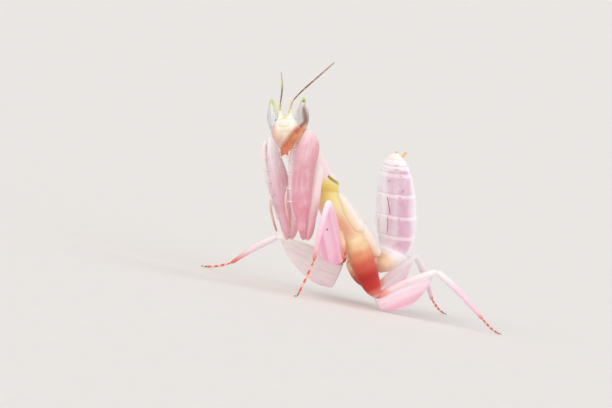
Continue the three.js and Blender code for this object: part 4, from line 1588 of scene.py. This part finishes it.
def make_foreleg(side, leg, femur_material, spine_material, tibia_material):
    line = Line(leg["femur"])
    rows = femur_rows(leg["depth"], leg["knee_back"])
    fine = {"rings": 120, "sides": 80, "ends": (40, 52)}
    femur = sweep(line, rows, side=femur_width_way(line, leg), swell=femur_relief, **fine)
    femur_skin = mesh_object(f"foreleg_{side}_femur_skin", femur, femur_material)
    dress(kept_clear(femur_skin, *leg["beside"]), "skin_rose", f"foreleg_{side}_femur")
    femur_spines(side, line, leg, girth(rows), spine_material)
    tibia_skin = mesh_object(f"foreleg_{side}_tibia_skin", tibia_and_foot(line, leg), tibia_material)
    covered = (f"foreleg_{side}_tibia", f"foreleg_{side}_tarsus")
    dress(kept_clear(tibia_skin, *leg["beside"]), "skin_white", *covered)


def tarsus_shell(path, segment):
    """A foot of five joints, the first the longest, each swollen at its end."""
    joints = np.array([0.0, 0.42, 0.6, 0.72, 0.82, 1.02])

    def swollen(t, angle):
        i = np.clip(np.searchsorted(joints, t) - 1, 0, 4)
        share = (t - joints[i]) / (joints[i + 1] - joints[i])
        return FOOT_RADIUS * (0.25 * share**2 - 0.18)

    rows = round_rows((0, FOOT_RADIUS), (1, FOOT_RADIUS * 0.85))
    return sweep(path, rows, rings=110, sides=20, swell=swollen, segment=segment)


def fore_tibia_paint():
    """White tibia and tan foot."""
    p = Paint("raptorial tibia", roughness=0.38, soft=0.2)
    base = p.ramp(
        p.along,
        (0.0, colour(252, 244, 242)),
        (0.5, colour(252, 238, 238)),
        (1.0, colour(240, 206, 210)),
    )
    base = p.mix(p.times(p.fade(p.noise(0.3), 0.5, 0.75), 0.4), base, colour(238, 190, 192))
    foot = p.ramp(
        p.along,
        (0.0, colour(244, 214, 206)),
        (0.5, colour(236, 190, 180)),
        (1.0, colour(206, 140, 120)),
    )
    base = p.mix(p.fade(p.attribute("segment").outputs["Fac"], 0.4, 0.6), base, foot)
    return p.finish(base, relief=0.02)


def make_forelegs():
    spine_material = spine_paint()
    # The left femur's rosier stops and stronger back shade, and the right femur's paler stops, are shaded and
    # lit copies of one pink: painted shade and painted light.
    shaded_femur_stops = (
        (0.0, colour(232, 148, 166)),
        (0.3, colour(228, 152, 168)),
        (0.6, colour(224, 160, 172)),
        (0.85, colour(232, 184, 193)),
        (0.95, colour(240, 206, 213)),
        (1.0, colour(250, 230, 233)),
    )
    lit_femur_stops = (
        (0.0, colour(240, 184, 196)),
        (0.3, colour(242, 192, 206)),
        (0.55, colour(246, 210, 222)),
        (0.8, colour(253, 240, 246)),
        (1.0, colour(255, 252, 252)),
    )
    femur_materials = {
        "left": femur_paint("raptorial femur, left", shaded_femur_stops, 0.6),
        "right": femur_paint("raptorial femur, right", lit_femur_stops, 0.3),
    }
    tibia_material = fore_tibia_paint()
    for side, leg in FORELEGS.items():
        make_foreleg(side, leg, femur_materials[side], spine_material, tibia_material)


# ---- Walking legs -------------------------------------------------------------------------------


def leg_shells(leg):
    """Segments: 0 the femur's shaft, 1 its petal lobe, 2 the tibia, 3 the tarsus."""
    hip, knee, ankle, sole = (np.array(leg[k]) for k in ("hip", "knee", "ankle", "sole"))
    lobe, fullest, heel, taper = (leg[k] for k in ("lobe", "fullest", "heel", "taper"))
    along = knee - hip
    downward = square_to(along, ankle - knee)
    side = tuple(-np.cross(along, downward))

    def point(share, drop):
        return hip + along * share + downward * drop

    shaft_rows = [(0, 0.5, 0.5, 0.5), (0.3, 0.5, 0.6, 0.6), (1, 0.45, 0.5, 0.5)]
    shaft = sweep([hip, point(0.5, -0.25), knee], shaft_rows, side=side, rings=90, sides=32, ends=(35, 35))
    half, crest = LOBE_THICKNESS / 2, 0.3
    petal_rows = [
        (0, half, crest, lobe * heel),
        (fullest * 0.4, half, crest, lobe * (1 + heel) / 2),
        (fullest, half, crest, lobe),
        (fullest + 0.55 * (1 - fullest), half, crest, lobe * taper),
        (1, half, crest, lobe * 0.2),
    ]
    petal_path = [point(-0.01, 0.1), point(0.45, 0.15), point(0.93, 0.1)]
    petal = sweep(petal_path, petal_rows, side=side, rings=110, sides=120, ends=(26, 50), segment=1)
    shin = ankle - knee
    outward = square_to(shin, along)
    tibia = sweep(
        [knee, knee + 0.45 * shin + outward * 0.25, ankle],
        [(0, 0.45, 0.5, 0.5), (0.45, 0.4, 0.55, 0.5), (0.8, 0.32, 0.36, 0.36), (1, 0.28, 0.3, 0.3)],
        side=tuple(np.cross(shin, outward)),
        rings=90,
        sides=28,
        ends=(35, 35),
        segment=2,
    )
    bend = ankle + 0.55 * (sole - ankle) + (0, 0, -0.2)
    return joined(shaft, petal, tibia, tarsus_shell([ankle, bend, sole], segment=3))


def petal_colour(p, lobe, stops, dot, ridge):
    """A petal lobe's colour by its depth, with veins; ridge adds a pale crest, a painted highlight along the
    lobe's middle, and dot a small dark dot.
    """
    t, depth = p.along, p.math("DIVIDE", p.upward, -lobe)
    streaks = p.noise(0.4, where=p.vector(p.times(t, 1.4), p.across, p.times(p.upward, 1.2)), detail=4.0)
    petal = p.ramp(depth, *stops)
    petal = p.mix(p.times(p.fade(streaks, 0.45, 0.75), 0.3), petal, colour(232, 158, 184))
    veins = p.veins(p.plus(p.times(depth, 14.0), p.times(t, 5.0)))
    petal = p.mix(p.times(p.fade(veins, 0.25, 0.0), 0.12), petal, colour(226, 146, 172))
    if ridge:
        # The crest is a painted highlight along the middle of the lobe.
        crest = p.both(p.band(depth, 0.45, 0.1, 0.25), p.fade(t, 0.15, 0.3))
        petal = p.mix(p.times(crest, ridge), petal, colour(252, 208, 226))
        line = p.both(p.band(depth, 0.7, 0.01, 0.08), p.fade(t, 0.15, 0.3))
        petal = p.mix(p.times(line, 0.3), petal, colour(222, 124, 156))
    if dot:
        off_along = p.times(p.plus(t, -0.7), 11.8)
        off_deep = p.times(p.plus(depth, -0.4), lobe)
        petal = p.mix(p.spot(off_along, off_deep, 0.12, 0.12), petal, dot)
    return petal


def tarsus_colour(p):
    """Pale and red in turns, brown at the end."""
    bands = p.math("SINE", p.times(p.along, 26.0))
    base = p.mix(p.fade(bands, -0.3, 0.4), colour(244, 196, 184), colour(230, 104, 84))
    return p.mix(p.fade(p.along, 0.75, 0.95), base, colour(150, 92, 72))


def leg_paint(name, lobe, petal_stops, shaft_stops, tibia_stops, dot=None, ridge=0.0):
    """One walking leg: its shaft, petal, tibia and banded tarsus."""
    p = Paint(name, roughness=0.42, soft=0.2)
    paints = {
        0: lambda p: p.ramp(p.along, *shaft_stops),
        1: lambda p: petal_colour(p, lobe, petal_stops, dot, ridge),
        2: lambda p: p.ramp(p.along, *tibia_stops),
        3: tarsus_colour,
    }
    return p.finish(p.blend(0.15, paints), relief=0.025)


def claw_shells(sole, heading):
    """Two curved claws that spread from the end of the foot to the floor."""
    across = np.cross(heading, (0, 0, 1))
    rows = round_rows((0, 0.08), (1, 0.03))
    shells = []
    for sign in (1, -1):
        root = sole + heading * 0.08 + across * sign * 0.06 + (0, 0, 0.02)
        middle = root + heading * 0.22 + across * sign * 0.12 + (0, 0, 0.06)
        tip = root + heading * 0.36 + across * sign * 0.2 + (0, 0, -0.14)
        shells.append(sweep([root, middle, tip], rows, rings=24, sides=12, ends=(40, 20)))
    return shells


def left_middle_leg_paint():
    """Pink petal, partly painted shade, with deeper bands of painted shade either side of a pale crest that
    is a painted highlight; a dark dot and a white knee.
    """
    deep = colour(244, 172, 200)
    return leg_paint(
        "middle leg, left",
        WALKING_LEGS["midleg_left"]["lobe"],
        (
            (0.0, colour(252, 214, 226)),
            (0.25, deep),
            (0.5, colour(250, 192, 216)),
            (0.8, deep),
            (1.0, colour(250, 206, 220)),
        ),
        (
            (0.0, colour(224, 96, 84)),
            (0.12, colour(238, 146, 132)),
            (0.35, colour(250, 192, 208)),
            (0.8, colour(252, 200, 220)),
            (1.0, colour(254, 242, 250)),
        ),
        (
            (0.0, colour(254, 242, 252)),
            (0.4, colour(253, 214, 232)),
            (0.75, colour(250, 198, 214)),
            (1.0, colour(232, 120, 106)),
        ),
        dot=colour(112, 26, 30),
        ridge=0.7,
    )


def right_middle_leg_paint():
    """White, partly painted light where the petal faces up into the light, with a little pink at the petal's
    edge and red at the ankle.
    """
    return leg_paint(
        "middle leg, right",
        WALKING_LEGS["midleg_right"]["lobe"],
        ((0.0, WHITE), (0.4, WHITE), (0.8, colour(250, 236, 240)), (1.0, colour(248, 222, 232))),
        ((0.0, colour(228, 130, 110)), (0.15, colour(246, 206, 206)), (0.4, WHITE), (1.0, WHITE)),
        ((0.0, WHITE), (0.5, colour(250, 230, 238)), (1.0, colour(226, 120, 104))),
    )


def hind_leg_paint():
    """Pale pink, rosier low on the petal, red at the hip and ankle."""
    pale = colour(250, 236, 240)
    return leg_paint(
        "hind leg",
        WALKING_LEGS["hindleg_left"]["lobe"],
        ((0.0, pale), (0.4, colour(248, 222, 232)), (0.8, colour(242, 184, 202)), (1.0, pale)),
        (
            (0.0, colour(214, 84, 66)),
            (0.12, colour(238, 160, 140)),
            (0.3, colour(248, 220, 224)),
            (1.0, WHITE),
        ),
        (
            (0.0, WHITE),
            (0.5, colour(248, 216, 232)),
            (0.85, colour(246, 206, 222)),
            (1.0, colour(232, 130, 108)),
        ),
    )


def claw_paint():
    p = Paint("claw", roughness=0.3, soft=0.05)
    base = p.ramp(p.along, (0.0, colour(196, 130, 96)), (1.0, colour(92, 52, 40)))
    base = p.mix(p.times(p.noise(0.1), 0.3), base, colour(150, 90, 66))
    return p.finish(base, relief=0.005)


def make_walking_legs():
    hind = hind_leg_paint()
    paints = {
        "midleg_left": left_middle_leg_paint(),
        "midleg_right": right_middle_leg_paint(),
        "hindleg_left": hind,
        "hindleg_right": hind,
    }
    claw = claw_paint()
    for name, leg in WALKING_LEGS.items():
        limb = skin(f"{name}_skin", leg_shells(leg), paints[name], LEG_GRAIN, smoothing=2)
        dress(limb, "skin_pink", f"{name}_femur", f"{name}_tibia", f"{name}_tarsus")
        sole, ankle = np.array(leg["sole"]), np.array(leg["ankle"])
        heading = unit((sole - ankle) * (1, 1, 0))
        dress(mesh_object(f"{name}_claws", joined(*claw_shells(sole, heading)), claw), "skin_orange")


# ---- Floor, light and camera --------------------------------------------------------------------

FLOOR_SIZE = 80  # metres
CAMERA_DISTANCE = 2.1588  # metres
CAMERA_LENS = 800
CAMERA_RIGHT = (0.50303, 0.83463, 0.22440)
CAMERA_UP = (-0.17685, -0.15475, 0.97200)
CAMERA_BACK = (0.84598, -0.52863, 0.06976)
CAMERA_AIM = (-10.317, 16.43)  # how far right and up in the view the aim lies from the maker's origin

def make_floor():
    """A wide pale matt floor."""
    bpy.ops.mesh.primitive_plane_add(size=FLOOR_SIZE, location=(0, 0, 0))
    floor = bpy.context.object
    floor.name = "floor"
    p = Paint("floor", roughness=0.8, soft=0.0, coat=0.0)
    fine = p.noise(3.0)
    base = p.mix(fine, colour(240, 238, 236), colour(234, 232, 230))
    floor.data.materials.append(p.finish(base, fine, relief=0.02, strength=0.1))


def make_world():
    """An even pale surround: white to the camera, softer as light."""
    world = bpy.data.worlds.new("studio")
    bpy.context.scene.world = world
    world.use_nodes = True
    nodes, links = world.node_tree.nodes, world.node_tree.links
    backdrop = nodes["Background"]
    backdrop.inputs["Color"].default_value = colour(255, 252, 250)
    backdrop.inputs["Strength"].default_value = 0.5
    seen = nodes.new("ShaderNodeBackground")
    seen.inputs["Color"].default_value = colour(244, 242, 240)
    seen.inputs["Strength"].default_value = 1.0
    path = nodes.new("ShaderNodeLightPath")
    chosen = nodes.new("ShaderNodeMixShader")
    direct = nodes.new("ShaderNodeMath")
    direct.operation = "MAXIMUM"
    links.new(path.outputs["Is Camera Ray"], direct.inputs[0])
    links.new(path.outputs["Is Glossy Ray"], direct.inputs[1])
    links.new(direct.outputs[0], chosen.inputs[0])
    links.new(backdrop.outputs[0], chosen.inputs[1])
    links.new(seen.outputs[0], chosen.inputs[2])
    links.new(chosen.outputs[0], nodes["World Output"].inputs["Surface"])


def lamp(name, direction, strength, spread, shade):
    """Soft light from one side of the sky; spread is the angle that the source fills."""
    data = bpy.data.lights.new(name, "SUN")
    data.energy = strength
    data.angle = math.radians(spread)
    data.color = shade[:3]
    obj = bpy.data.objects.new(name, data)
    bpy.context.scene.collection.objects.link(obj)
    obj.rotation_euler = Vector(direction).to_track_quat("Z", "Y").to_euler()


def make_lights():
    lamp("key", (0.25, -0.82, 0.75), 1.35, 40, colour(255, 253, 251))
    lamp("fill", (1.0, 0.25, 0.2), 0.95, 60, colour(252, 250, 255))
    lamp("rim", (0.1, 0.8, 0.65), 0.5, 40, colour(255, 250, 246))


def make_camera():
    """A long lens at the animal's left and a little ahead, rolled with its right side up."""
    right, up, back = Vector(CAMERA_RIGHT), Vector(CAMERA_UP), Vector(CAMERA_BACK)
    aim = (right * CAMERA_AIM[0] + up * CAMERA_AIM[1] + Vector(PACKED_ORIGIN)) * MM
    data = bpy.data.cameras.new("camera")
    data.lens = CAMERA_LENS
    data.sensor_width = 36
    data.clip_start = 0.01
    data.clip_end = 50
    camera = bpy.data.objects.new("camera", data)
    bpy.context.scene.collection.objects.link(camera)
    turn = Matrix((right, up, back)).transposed().to_4x4()
    camera.matrix_world = Matrix.Translation(aim + back * CAMERA_DISTANCE) @ turn
    bpy.context.scene.camera = camera


# ---- The whole animal ---------------------------------------------------------------------------

make_head()
make_mouth()
make_antennae()
make_body()
make_pads()
make_cerci()
make_forelegs()
make_walking_legs()
make_floor()
make_world()
make_lights()
make_camera()
bpy.context.scene.view_settings.view_transform = "Standard"
